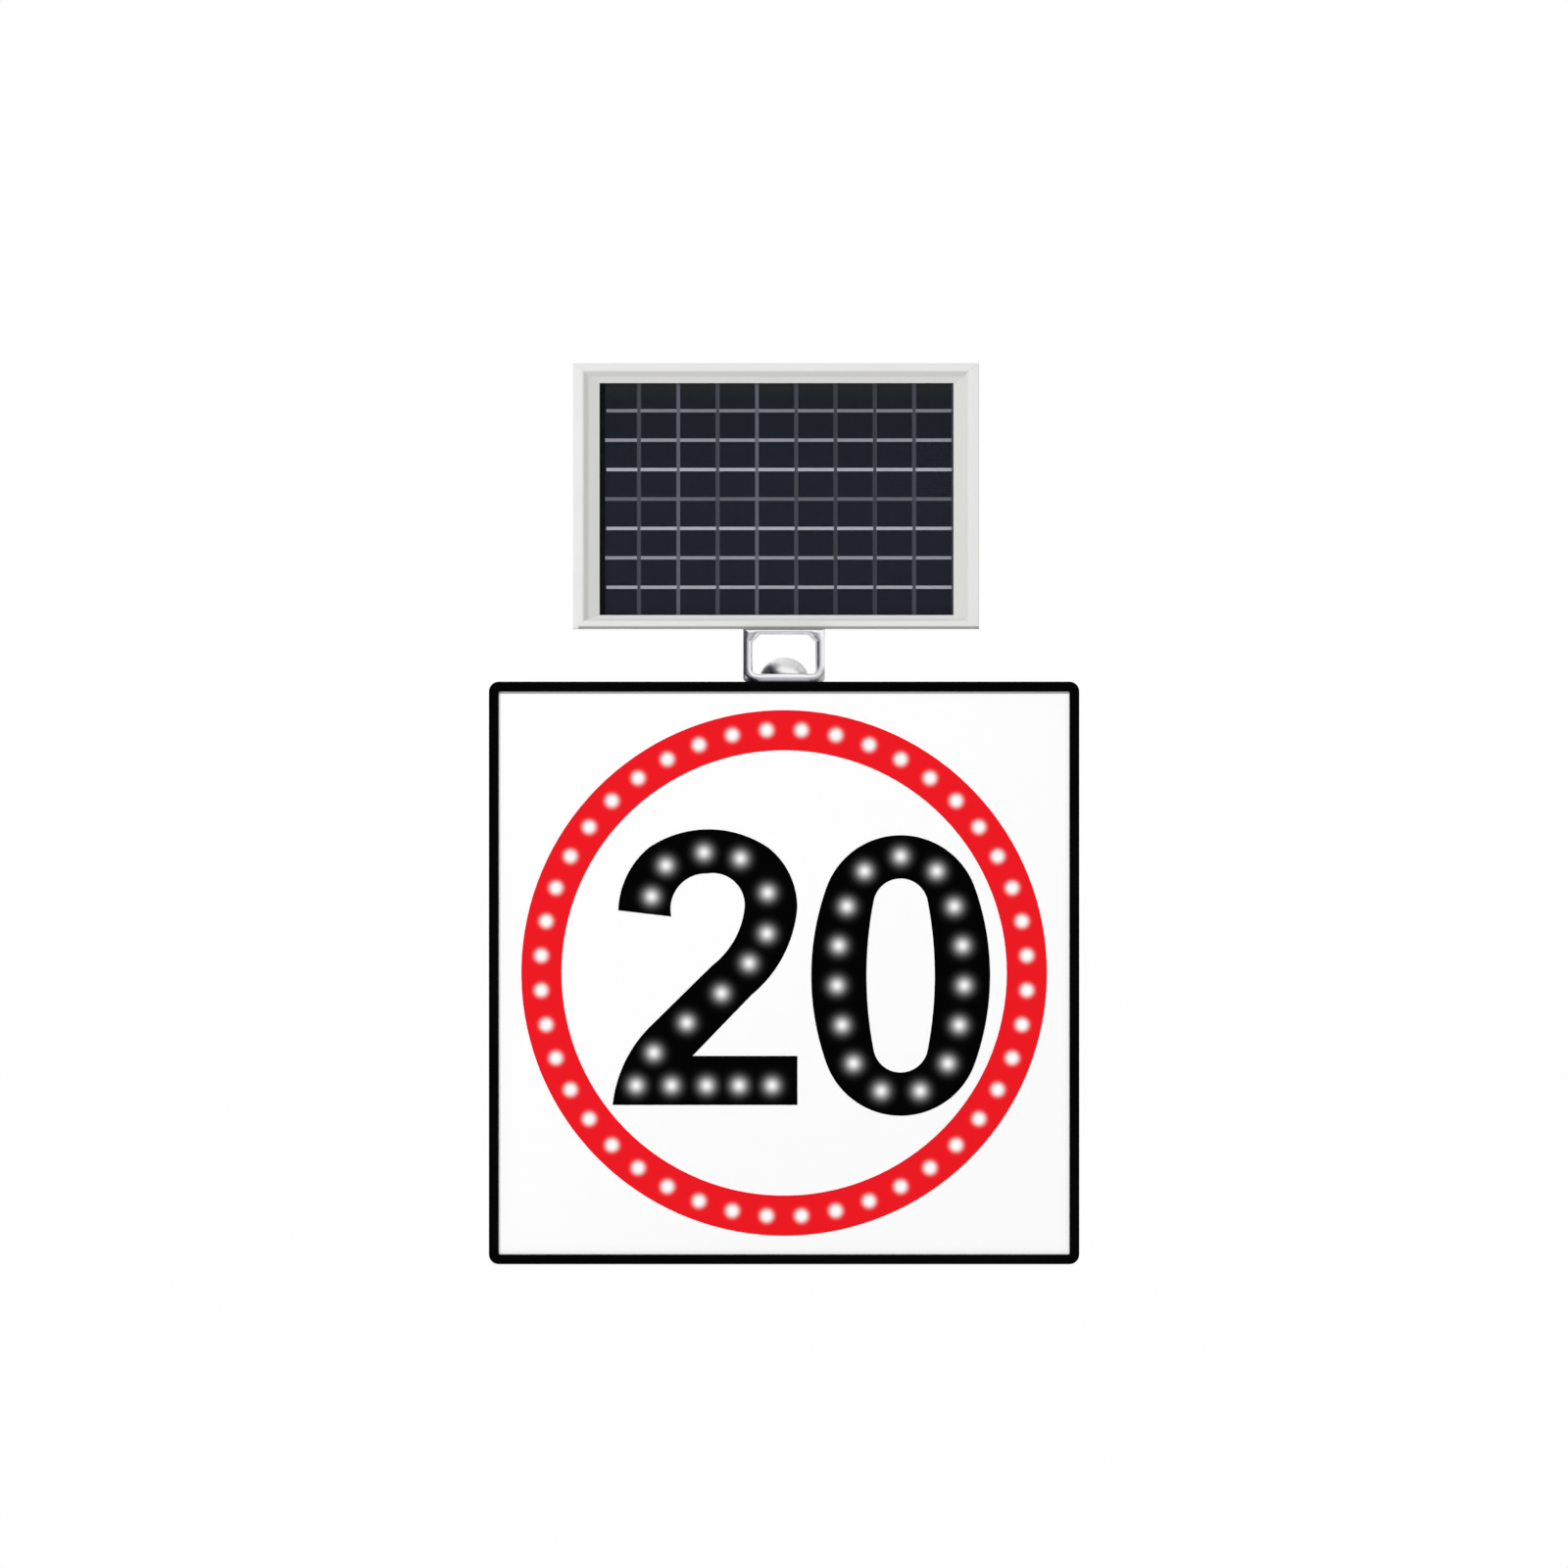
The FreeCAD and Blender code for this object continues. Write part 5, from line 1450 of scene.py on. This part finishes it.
@dataclass
class Face:
    """White plate with its films and lamps."""

    lamps_in_ring: int = 44
    lens_foot: float = 7.5 * MM
    lens_rise: float = 2.0 * MM
    lens_sides: int = 24
    lens_rings: int = 5
    lens_sharp: float = 50.0
    ring_glow: Glow = Glow(peak=1.0, spread=6.7 * MM, fall=3.3)
    figure_glow: Glow = Glow(peak=0.94, spread=6.35 * MM, fall=1.75)
    red: Colour = (0.815, 0.0086, 0.0145)
    black: Colour = (0.0007, 0.0007, 0.0008)
    lip: float = 10.0 * MM
    # Height of the painted shadow band under the upper lip.
    painted_lip_shadow: float = 2.4 * MM

    def lens(self) -> Surface:
        """Low dome with its foot at nought, towards +Z."""
        cap = cap_profile(self.lens_foot, self.lens_rise, self.lens_rings)
        return revolved(np.concatenate([[(0.0, 0.0)], cap]), self.lens_sides)

    def build_lenses(self, name: str, nodes: Sequence[str], finish: Finish) -> None:
        """Smooth lenses where CAD nodes have their many-sided ones.

        Args:
            name: Name of the piece.
            nodes: The CAD nodes.
            finish: Finish of the lenses.
        """
        foot = box_of(nodes[0])[1][1]
        one = self.lens().along_y(-1.0)
        lenses = [one.moved(x, foot, z) for node in nodes for x, _, z in middles(node)]
        build(name, united(lenses), finish, Body.HOUSING, nodes, self.lens_sharp, broad=False)

    def build_all(self) -> None:
        """Plate, films and lamps."""
        low, high = box_of("housing_shell")
        under_lip = float(high[2]) - self.lip
        # The face plate gets a painted shadow band just under the upper lip.
        dress("face_plate", WhiteSheeting(painted_lip_shadow=(under_lip - self.painted_lip_shadow, under_lip)))
        x, _, z = (low + high) / 2
        first = middles("ring_lamps")[0]
        ring = LampRing((x, z), math.hypot(first[0] - x, first[2] - z), self.lamps_in_ring)
        figures = {"figure_two": "figure_two_lamps", "figure_zero": "figure_zero_lamps"}
        dress("ring_film", LitFilm("red_ring_film", self.red, ring, self.ring_glow))
        lens = LitFilm("ring_lens", self.red, ring, self.ring_glow, roughness=0.2, gloss=0.05)
        self.build_lenses("ring_lenses", ["ring_lamps"], lens)
        for name, lamps in figures.items():
            spots = LampSpots(tuple((round(x, 5), round(z, 5)) for x, _, z in middles(lamps)))
            light = (self.black, spots, self.figure_glow)
            dress(f"{name}_film", LitFilm(f"{name}_print", *light, roughness=0.4, gloss=0.014))
            lens = LitFilm(f"{name}_lens", *light, roughness=0.22, gloss=0.02)
            self.build_lenses(f"{name}_lenses", [lamps], lens)
        for board in ("ring_lamp_boards", "figure_two_board", "figure_zero_board"):
            dress(board, CircuitBoard())


@dataclass
class Mounting:
    """Rails and pole clamps on the back, with their bolts and nuts."""

    corner: float = 7.5 * MM
    head: float = 5.0 * MM
    shank: float = 4.0 * MM
    bore: float = 4.15 * MM

    def bolts(self, node: str, seat: float, towards: float) -> Surface:
        """Hexagonal bolts where a CAD node has them.

        Args:
            node: The CAD node.
            seat: Place of the heads' bearing faces along Y.
            towards: Side of the seat that the heads lie on, 1 for +Y.

        Returns:
            Heads and threaded shanks.
        """
        made = []
        for low, high in islands(node):
            x, _, z = (low + high) / 2
            top, tip = (high[1], low[1]) if towards > 0 else (low[1], high[1])
            head = hexagonal(self.corner, abs(top - seat))
            shank = threaded(self.shank, -abs(seat - tip), 0.2 * MM)
            made.append(united([head, shank]).along_y(towards).moved(x, seat, z))
        return united(made)

    def nuts(self, node: str) -> Surface:
        """Hexagonal nuts where a CAD node has them."""
        made = []
        for low, high in islands(node):
            x, _, z = (low + high) / 2
            made.append(hexagonal(self.corner, high[1] - low[1], self.bore).along_y().moved(x, low[1], z))
        return united(made)

    def build_all(self) -> None:
        """Rails, clamps, bolts and nuts."""
        for level in ("lower", "upper"):
            softened(f"{level}_rail", DRAWN, Body.HOUSING, width=0.5 * MM)
            for part in ("saddle", "strap"):
                softened(f"{level}_clamp_{part}", CAST, Body.HOUSING, width=1.0 * MM, steps=3)
        seats = {"rail": (box_of("rail_bolts")[1][1] - self.head, 1.0),
                 "clamp": (box_of("clamp_bolts")[0][1] + self.head, -1.0)}
        for kind, (seat, towards) in seats.items():
            made = {"bolts": self.bolts(f"{kind}_bolts", seat, towards), "nuts": self.nuts(f"{kind}_nuts")}
            for part, surface in made.items():
                name = f"{kind}_hexagon_{part}"
                build(name, surface, ZINC, Body.HOUSING, [f"{kind}_{part}"])


@dataclass
class Inside:
    """What the housing holds: battery, charge controller and lamp driver."""

    def build_all(self) -> None:
        """Softened cases, dressed boards and metal pieces."""
        softened("battery_pack", BATTERY, Body.HOUSING, width=1.2 * MM, steps=3)
        softened("charge_controller", FinnedCase(), Body.HOUSING, width=1.0 * MM, steps=3)
        softened("controller_terminals", PLASTIC, Body.HOUSING, width=0.8 * MM)
        softened("battery_strap", ZINC, Body.HOUSING, width=0.3 * MM)
        dress("battery_terminals", Brass())
        dress("driver_posts", Brass())
        dress("lamp_driver_board", CircuitBoard())


@dataclass
class Swivel:
    """Loop bracket and dome headed bolt that the panel turns on."""

    half_width: float = 41.5 * MM
    side: float = 9.3 * MM
    foot: float = 8.0 * MM
    top: float = 5.6 * MM
    gusset: float = 8.0 * MM
    round_corner: float = 15.0 * MM
    back_corner: float = 4.0 * MM
    inner_corner: float = 5.0 * MM
    nose: float = 5.0 * MM
    foot_noses: Pair = (0.5 * MM, 2.6 * MM)
    shoulder: float = 19.0 * MM
    back_bevel: float = 1.5 * MM
    loop_steps: int = 240
    shank: float = 10.0 * MM
    hole: float = 10.15 * MM
    thread: float = 2.0 * MM
    plain: float = 6.0 * MM
    dome: float = 23.6 * MM
    dome_rise: float = 16.5 * MM
    nut_corner: float = 17.3 * MM

    @staticmethod
    def reach(turns: Array, normals: Array, distances: Array) -> Array:
        """How far a convex outline lies from the middle in each direction.

        The outline is the border of the half planes n . p <= d, so in the direction u it lies at the least
        d / (n . u) of those that u runs towards.

        Args:
            turns: Directions as angles.
            normals: Unit normals of the half planes.
            distances: Their distances from the middle.

        Returns:
            One distance for each direction.
        """
        facing = normals @ np.stack([np.cos(turns), np.sin(turns)])
        ahead = facing > 1e-6
        return np.where(ahead, distances[:, None] / np.where(ahead, facing, 1.0), np.inf).min(axis=0)

    @staticmethod
    def outline(half: float, low: float, high: float, corner: float, gusset: float) -> tuple[Array, Array]:
        """Half planes of a rectangle with round lower corners and slanted upper ones.

        Args:
            half: Half the width.
            low: Distance of the lower side under the middle.
            high: Distance of the upper side over the middle.
            corner: Radius of the lower corners.
            gusset: Length that the slants take from the upper corners, or nought.

        Returns:
            Normals and distances.
        """
        turn = np.linspace(-np.pi / 2, 0.0, 13)
        right = np.stack([np.cos(turn), np.sin(turn)], axis=-1)
        round_off = right @ np.array([half - corner, corner - low]) + corner
        left = right * [-1.0, 1.0]
        slant = math.sqrt(0.5)
        corner_off = (half + high - gusset) * slant
        normals = np.concatenate([right, left, [(0.0, 1.0), (slant, slant), (-slant, slant)]])
        distances = np.concatenate([round_off, round_off, [high, corner_off, corner_off]])
        return normals, distances

    def loop(self, low: Array, high: Array) -> Surface:
        """The loop: a cross-section carried round the opening.

        In each direction from the middle the wall runs from the inner to the outer outline. The section
        gives shares of that wall and places along Y: a half ellipse in front, which is flatter along the
        foot, most of all on its lower half, straight walls and a small bevel behind. Behind the shoulder
        the outer outline has nearly square lower corners.

        Args:
            low: Lowest corner of the bracket.
            high: Highest corner.

        Returns:
            The closed surface.
        """
        middle = (low[2] + high[2]) / 2
        _, half_y, half_z = (high - low) / 2
        inner = self.outline(self.half_width - self.side, half_z - self.foot, half_z - self.top,
                             self.inner_corner, self.gusset)
        soft = self.outline(self.half_width, half_z, half_z, self.round_corner, 0.0)
        square = self.outline(self.half_width, half_z, half_z, self.back_corner, 0.0)
        inner_x, inner_z = self.half_width - self.side, half_z - self.top
        bends = np.array([
            math.atan2(half_z, self.half_width), math.atan2(inner_z - self.gusset, inner_x),
            math.atan2(inner_z, inner_x - self.gusset),
        ])
        turns = np.unique(np.concatenate([angles(self.loop_steps), bends, np.pi - bends]))
        wave = np.linspace(0.0, np.pi, 15)
        ridge = 0.5 + 0.5 * np.cos(wave)
        along_foot = np.clip((-np.sin(turns) - 0.6) / 0.14, 0.0, 1.0)[:, None]
        foot_nose = np.where(wave < np.pi / 2, *self.foot_noses)
        nose = self.nose + along_foot * (foot_nose - self.nose)
        crest = -half_y + nose * (1 - np.sin(wave))
        bevelled = half_y - self.back_bevel
        rest = np.array([
            (0.0, bevelled, 0.0), (0.14, half_y, 0.0), (0.86, half_y, 1.0), (1.0, bevelled, 1.0),
            (1.0, 0.8 * MM - self.shoulder, 1.0), (1.0, 0.2 * MM - self.shoulder, 0.75),
            (1.0, -self.shoulder, 0.0),
        ])
        share = np.concatenate([ridge, rest[:, 0]])[None, :]
        depth = np.concatenate([crest, np.broadcast_to(rest[:, 1], (len(turns), len(rest)))], axis=1)
        squared = np.concatenate([np.zeros(len(wave)), rest[:, 2]])[None, :]
        near = self.reach(turns, *inner)[:, None]
        far = self.reach(turns, *soft)[:, None] * (1 - squared)
        far = far + self.reach(turns, *square)[:, None] * squared
        out = near + (far - near) * share
        x, z = out * np.cos(turns)[:, None], middle + out * np.sin(turns)[:, None]
        return grid(np.stack([x, depth, z], axis=-1), True, True)

    def bolt(self, low: float, seat: float) -> Surface:
        """Dome headed bolt about Z: threaded end, plain shank, rim and the cap of a sphere.

        Args:
            low: Level of its lower end.
            seat: Level of the head's bearing face.

        Returns:
            The surface.
        """
        rim = 0.12 * self.dome_rise
        cap = cap_profile(self.dome, self.dome_rise - rim, 18) + (0.0, rim)
        edge = 0.5 * MM
        chamfer = self.plain - 1.0 * MM
        foot = np.array([
            (0.0, -self.plain), (self.shank - 0.1 * MM, -self.plain), (self.shank, -chamfer),
            (self.shank, 0.0), (self.dome - edge, 0.0), (self.dome, edge),
        ])
        head = revolved(np.concatenate([foot, cap]), 96).moved(z=seat)
        return united([head, threaded(self.shank, low, seat - chamfer, self.thread, 40)])

    def build_all(self) -> None:
        """Loop, bolt, washer, nut and stiffener."""
        low, high = box_of("bracket_loop")
        # Painted light: the loop's paler, less metallic patch sits at its lower right front corner, for a
        # bright reflection there.
        corner = (float(high[0]), float(low[1]), float(low[2]) + 2.0 * MM)
        bright = BrightMetal("bright_casting", corner, 17.0 * MM)
        loop = build("swivel_loop", self.loop(low, high), bright, Body.PANEL, ["bracket_loop"])
        drill = np.array([(0.0, -4.0 * MM), (self.hole, -4.0 * MM), (self.hole, 14.0 * MM), (0.0, 14.0 * MM)])
        cut_away(loop, revolved(drill, 64).moved(z=low[2]))
        seat = float(low[2]) + self.foot
        # On the dome, painted light round the crown and a painted dark reflection low on the left.
        crown = (8.0 * MM, 0.0, seat + self.dome_rise)
        painted_bolt = BrightMetal(
            "bolt_with_painted_reflections", crown, 30.0 * MM, shade=(0.95, 0.95, 0.955), roughness=0.34, turned_from=0.76,
            painted_dark_reflection_at=(-17.0 * MM, -15.0 * MM, seat + 1.0 * MM), painted_dark_reflection_reach=16.0 * MM,
            painted_bright_patch=(0.98, 0.98, 0.98), painted_bright_patch_metal=0.15,
        )
        bolt = self.bolt(box_of("pivot_bolt")[0][2], seat)
        build("dome_bolt", bolt, painted_bolt, Body.HOUSING, ["pivot_bolt"])
        for plate in ("pivot_washer", "top_stiffener"):
            softened(plate, ZINC, Body.HOUSING, width=0.4 * MM)
        low, high = box_of("pivot_nut")
        nut = hexagonal(self.nut_corner, high[2] - low[2], self.hole).moved(z=low[2])
        build("pivot_hexagon_nut", nut, ZINC, Body.HOUSING, ["pivot_nut"])
        dress("bracket_screws", ZINC)


@dataclass(frozen=True)
class FrameSide:
    """One side of the panel frame: insets of the rim's end and of the step's foot, and its coat with that
    side's painted light and shade.
    """

    rim: float
    foot: float
    coat: FrameCoatWithPaintedShading


# Each side has its own copy of the coat, lighter or darker by how the light falls on it: painted light and
# shade.
FRAME_SIDES = {
    "left": FrameSide(9.7 * MM, 15.5 * MM,
                      FrameCoatWithPaintedShading("left_frame_coat_painted_shading", (0.775, 0.783, 0.760), (0.622, 0.629, 0.596),
                                painted_step_shade=0.87)),
    "right": FrameSide(10.5 * MM, 15.5 * MM,
                       FrameCoatWithPaintedShading("right_frame_coat_painted_shading", (0.738, 0.746, 0.724), (0.655, 0.660, 0.628))),
    "bottom": FrameSide(8.0 * MM, 10.0 * MM,
                        FrameCoatWithPaintedShading("bottom_frame_coat_painted_shading", (0.738, 0.746, 0.724), (0.745, 0.741, 0.742))),
    "top": FrameSide(7.2 * MM, 13.4 * MM,
                     FrameCoatWithPaintedShading("top_frame_coat_painted_shading", (0.757, 0.747, 0.736), (0.650, 0.651, 0.644), painted_step_shade=0.86)),
}


@dataclass
class Panel:
    """Solar panel: mitred frame, glass, cells with ribbons, back sheet and junction box."""

    full: float = 27.0 * MM
    rebate: float = 0.78
    seat_end: float = 0.95
    wall: float = 0.09
    flange: float = 0.65
    step_depth: float = 2.6 * MM
    lip: float = 0.6 * MM
    thickness: float = 2.0 * MM
    mitre_gap: float = 0.06 * MM

    def section(self) -> Array:
        """Section of the frame's widest side, with its edges rounded off.

        Returns:
            Array of (inset from the outside, place along Y).
        """
        front, back = box_of("panel_frame_left")[0][1], box_of("panel_frame_left")[1][1]
        glass, seat = box_of("panel_glass")[0][1], box_of("panel_back_sheet")[1][1]
        behind = seat + self.thickness
        w = self.full
        rim, foot = FRAME_SIDES["left"].rim, FRAME_SIDES["left"].foot
        corners = [
            (0.0, front), (rim, front), (foot, front + self.step_depth), (w, glass - self.lip),
            (w, glass), (self.rebate * w, glass), (self.rebate * w, seat), (self.seat_end * w, seat),
            (self.seat_end * w, behind), (self.wall * w, behind), (self.wall * w, back - self.thickness),
            (self.flange * w, back - self.thickness), (self.flange * w, back), (0.0, back),
        ]
        radii = np.array([1.2, 10.0, 16.0, 0.28, 0.1, 0.1, 0.1, 0.1, 0.3, 0.3, 0.3, 0.4, 0.4, 0.8]) * MM
        return filleted(corners, radii)

    def build_frame(self) -> None:
        """Four sides, each the section drawn between two mitres.

        Each side has its own widths of rim, step and slope, and a point's inset there follows from its
        inset in the section in straight runs between them. A point of the section lies at its insets from
        the two sides that meet in a corner, so every line of the section meets at the mitre.
        """
        inset, depth = self.section().T
        boxes = {name: box_of(f"panel_frame_{name}") for name in FRAME_SIDES}
        (x0, _, z0), (x1, _, z1) = boxes["left"][0], boxes["right"][1]
        widths = {"left": boxes["left"][1][0] - x0, "right": x1 - boxes["right"][0][0],
                  "bottom": boxes["bottom"][1][2] - z0, "top": z1 - boxes["top"][0][2]}
        wide = FRAME_SIDES["left"]
        from_stations = [0.0, wide.rim, wide.foot, self.full]
        place = {name: np.interp(inset, from_stations, [0.0, side.rim, side.foot, widths[name]])
                 for name, side in FRAME_SIDES.items()}
        left, right = x0 + place["left"], x1 - place["right"]
        low, high = z0 + place["bottom"], z1 - place["top"]
        g = self.mitre_gap
        ends = {"left": ((left, low + g), (left, high - g)), "right": ((right, low + g), (right, high - g)),
                "bottom": ((left + g, low), (right - g, low)), "top": ((left + g, high), (right - g, high))}
        for name, side in FRAME_SIDES.items():
            rows = [np.stack([x, depth, z], axis=-1) for x, z in ends[name]]
            made = grid(np.stack(rows), loop_columns=True, capped=True)
            build(f"frame_side_{name}", made, side.coat, Body.PANEL, [f"panel_frame_{name}"])

    def build_laminate(self) -> None:
        """Glass, cells, ribbons and back sheet."""
        matrix = CellMatrix()
        x0, x1, z0, z1 = matrix.edges()
        front, back = box_of("panel_cells")[0][1], box_of("panel_cells")[1][1]
        cells = slab(x0, x1, z0, z1, front, back, 0.7 * MM)
        build("silicon_cells", cells, SolarCell(), Body.PANEL, ["panel_cells"])
        ribbon_front, ribbon_back = box_of("panel_ribbons")[0][1], box_of("panel_ribbons")[1][1]
        level = (z0 + z1) / 2
        # Ribbons start past the painted shadow strip at the left.
        start = np.maximum(x0, matrix.painted_shadow_end + 1.2 * MM)
        half = matrix.ribbon / 2
        strips = slab(start, x1, level - half, level + half, ribbon_front, ribbon_back, 0.3 * MM)
        build("tinned_ribbons", strips, RibbonSolder(), Body.PANEL, ["panel_ribbons"])
        dress("panel_glass", SolarGlass())
        dress("panel_back_sheet", BackSheet())

    def build_junction(self) -> None:
        """Junction box with its lid and gland."""
        softened("junction_box", PLASTIC, Body.PANEL, width=1.2 * MM, steps=3)
        softened("junction_lid", PLASTIC, Body.PANEL, width=0.7 * MM, steps=3)
        low, high = box_of("junction_gland")
        x, y, _ = (low + high) / 2
        collar = hexagonal(5.17 * MM, 4.0 * MM, 3.0 * MM, 36).moved(z=-4.0 * MM)
        cap = tube(np.array([
            (3.0, -4.0), (4.3, -4.0), (4.5, -4.4), (4.5, -9.6), (4.0, -11.8), (3.0, -13.0), (2.8, -12.6),
        ]) * MM, 48, 12, 0.03, (-9.7 * MM, -4.2 * MM))
        parts = united([collar, cap]).moved(x, y, high[2])
        build("box_gland", parts, PLASTIC, Body.PANEL, ["junction_gland"])

    def build_all(self) -> None:
        """Every piece of the panel."""
        self.build_frame()
        self.build_laminate()
        self.build_junction()


@dataclass
class Studio:
    """Pale floor, white surroundings, soft lamps and the camera."""

    shot_width: float = 1593.1 * MM
    lens: float = 400.0
    sensor: float = 36.0
    front: float = -30.0 * MM
    middle_x: float = -0.1 * MM
    middle_z: float = 488.0 * MM
    clip: Pair = (0.1, 300.0)
    aim: Triple = (0.0, 0.0, 0.45)
    surroundings: float = 0.42
    table: Colour = (0.86, 0.86, 0.86)
    table_light: float = 0.66
    table_white: float = 0.985
    table_reach: float = 60.0
    table_level: float = -0.2 * MM

    @staticmethod
    def seen(tree: Tree) -> Number:
        """One for rays from the camera, from gloss and through glass, nought for the rest."""
        path = tree.node("ShaderNodeLightPath").outputs
        rays = (Number(tree, path[f"Is {kind} Ray"]) for kind in ("Camera", "Glossy", "Transmission"))
        return reduce(Number.most, rays)

    def build_world(self) -> None:
        """White to the camera and to gloss, softer as a light."""
        world = bpy.data.worlds.new("white_surroundings")
        bpy.context.scene.world = world
        tree = Tree(world)
        strength = self.surroundings + (1.0 - self.surroundings) * self.seen(tree)
        light = tree.node("ShaderNodeBackground", inputs={"Color": WHITE, "Strength": strength})
        tree.node("ShaderNodeOutputWorld", inputs={"Surface": light.outputs[0]})

    @staticmethod
    def sheet(name: str, corners: Sequence[Triple]) -> tuple[bpy.types.Object, Tree]:
        """A flat piece of the stage.

        Args:
            name: Name of the piece and of its material.
            corners: Its four corners in order.

        Returns:
            The piece, and its material's empty tree.
        """
        material = bpy.data.materials.new(name)
        mesh = bpy.data.meshes.new(name)
        mesh.from_pydata(list(corners), [], [(0, 1, 2, 3)])
        mesh.materials.append(material)
        made = bpy.data.objects.new(name, mesh)
        bpy.context.scene.collection.objects.link(made)
        return made, Tree(material)

    def build_floor(self) -> None:
        """Broad table, lit from within, that keeps a faint shadow."""
        reach, level = self.table_reach, self.table_level
        corners = [(x * reach, y * reach, level) for x, y in ((-1, -1), (1, -1), (1, 1), (-1, 1))]
        floor, tree = self.sheet("studio_floor", corners)
        share = self.table_light + (self.table_white - self.table_light) * self.seen(tree)
        matt = tree.node("ShaderNodeBsdfDiffuse", inputs={"Color": self.table}).outputs[0]
        light = tree.node("ShaderNodeEmission", inputs={"Color": WHITE, "Strength": 1.0}).outputs[0]
        mix = tree.node("ShaderNodeMixShader", inputs={0: share, 1: matt, 2: light})
        tree.node("ShaderNodeOutputMaterial", inputs={"Surface": mix.outputs[0]})

    def build_card(self, name: str, corners: Sequence[Triple], colour: Colour) -> None:
        """A flat card that nothing but gloss shows.

        Args:
            name: Name of the card.
            corners: Its four corners in order.
            colour: What bright metal shows of it.
        """
        card, tree = self.sheet(name, corners)
        light = tree.node("ShaderNodeEmission", inputs={"Color": colour})
        tree.node("ShaderNodeOutputMaterial", inputs={"Surface": light.outputs[0]})
        card.visible_camera = card.visible_diffuse = card.visible_shadow = card.visible_transmission = False

    def build_cards(self) -> None:
        """Dark card at the left, grey ones behind the camera and below, for the bright bracket's bands."""
        x, front, back, top = -1.5, -4.4, 4.2, 3.2
        left = [(x, front, 0.0), (x, back, 0.0), (x, back, top), (x, front, top)]
        self.build_card("dark_card", left, (0.035, 0.037, 0.052))
        far, near, half, top, level = -20.0, -0.5, 5.6, 6.0, 0.5 * MM
        behind = [(-half, far, 0.0), (half, far, 0.0), (half, far, top), (-half, far, top)]
        self.build_card("grey_card", behind, (0.56, 0.56, 0.60))
        below = [(-half, near, level), (half, near, level), (half, far, level), (-half, far, level)]
        self.build_card("low_card", below, (0.30, 0.30, 0.34))

    def build_lamp(self, name: str, place: Triple, side: float, watts: float, mirrored: bool = False) -> None:
        """A soft square lamp that looks at the sign.

        Args:
            name: Name of the lamp.
            place: Where it stands.
            side: Length of its sides.
            watts: Its power.
            mirrored: Lets bright metal show it.
        """
        light = bpy.data.lights.new(name, "AREA")
        light.shape, light.size, light.energy = "SQUARE", side, watts
        lamp = bpy.data.objects.new(name, light)
        lamp.location = place
        aim = np.array(self.aim) - np.array(place)
        tilt = math.acos(-aim[2] / np.linalg.norm(aim))
        lamp.rotation_euler = (tilt, 0.0, math.atan2(aim[1], aim[0]) - math.pi / 2)
        lamp.visible_camera, lamp.visible_glossy = False, mirrored
        bpy.context.scene.collection.objects.link(lamp)

    def build_camera(self) -> None:
        """Camera straight in front, far off, with the photograph's frame."""
        data = bpy.data.cameras.new("front_camera")
        data.lens, data.sensor_width = self.lens, self.sensor
        data.clip_start, data.clip_end = self.clip
        camera = bpy.data.objects.new("front_camera", data)
        distance = self.shot_width * self.lens / self.sensor
        camera.location = (self.middle_x, self.front - distance, self.middle_z)
        camera.rotation_euler = (math.pi / 2, 0.0, 0.0)
        bpy.context.scene.collection.objects.link(camera)
        bpy.context.scene.camera = camera

    def build_all(self) -> None:
        """World, floor, cards, lamps and camera."""
        self.build_world()
        self.build_floor()
        self.build_cards()
        self.build_lamp("key_lamp", (-4.9, -6.6, 3.9), side=4.0, watts=374.0)
        self.build_lamp("fill_lamp", (4.6, -6.0, 1.0), side=3.0, watts=66.0)
        self.build_lamp("back_lamp_left", (-3.4, 4.4, 3.4), side=2.6, watts=110.0, mirrored=True)
        self.build_lamp("back_lamp_right", (3.6, 4.2, 2.4), side=2.6, watts=80.0)
        self.build_camera()
        bpy.context.scene.view_settings.view_transform = "Standard"


def main() -> None:
    """Builds the sub-assemblies in order."""
    logging.basicConfig(level=logging.INFO, format="%(message)s")
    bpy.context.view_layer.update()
    for assembly in (Studio(), Housing(), Face(), Mounting(), Inside(), Swivel(), Panel()):
        LOG.info("building %s", type(assembly).__name__)
        assembly.build_all()
    bpy.context.view_layer.update()


if __name__ == "__main__":
    main()
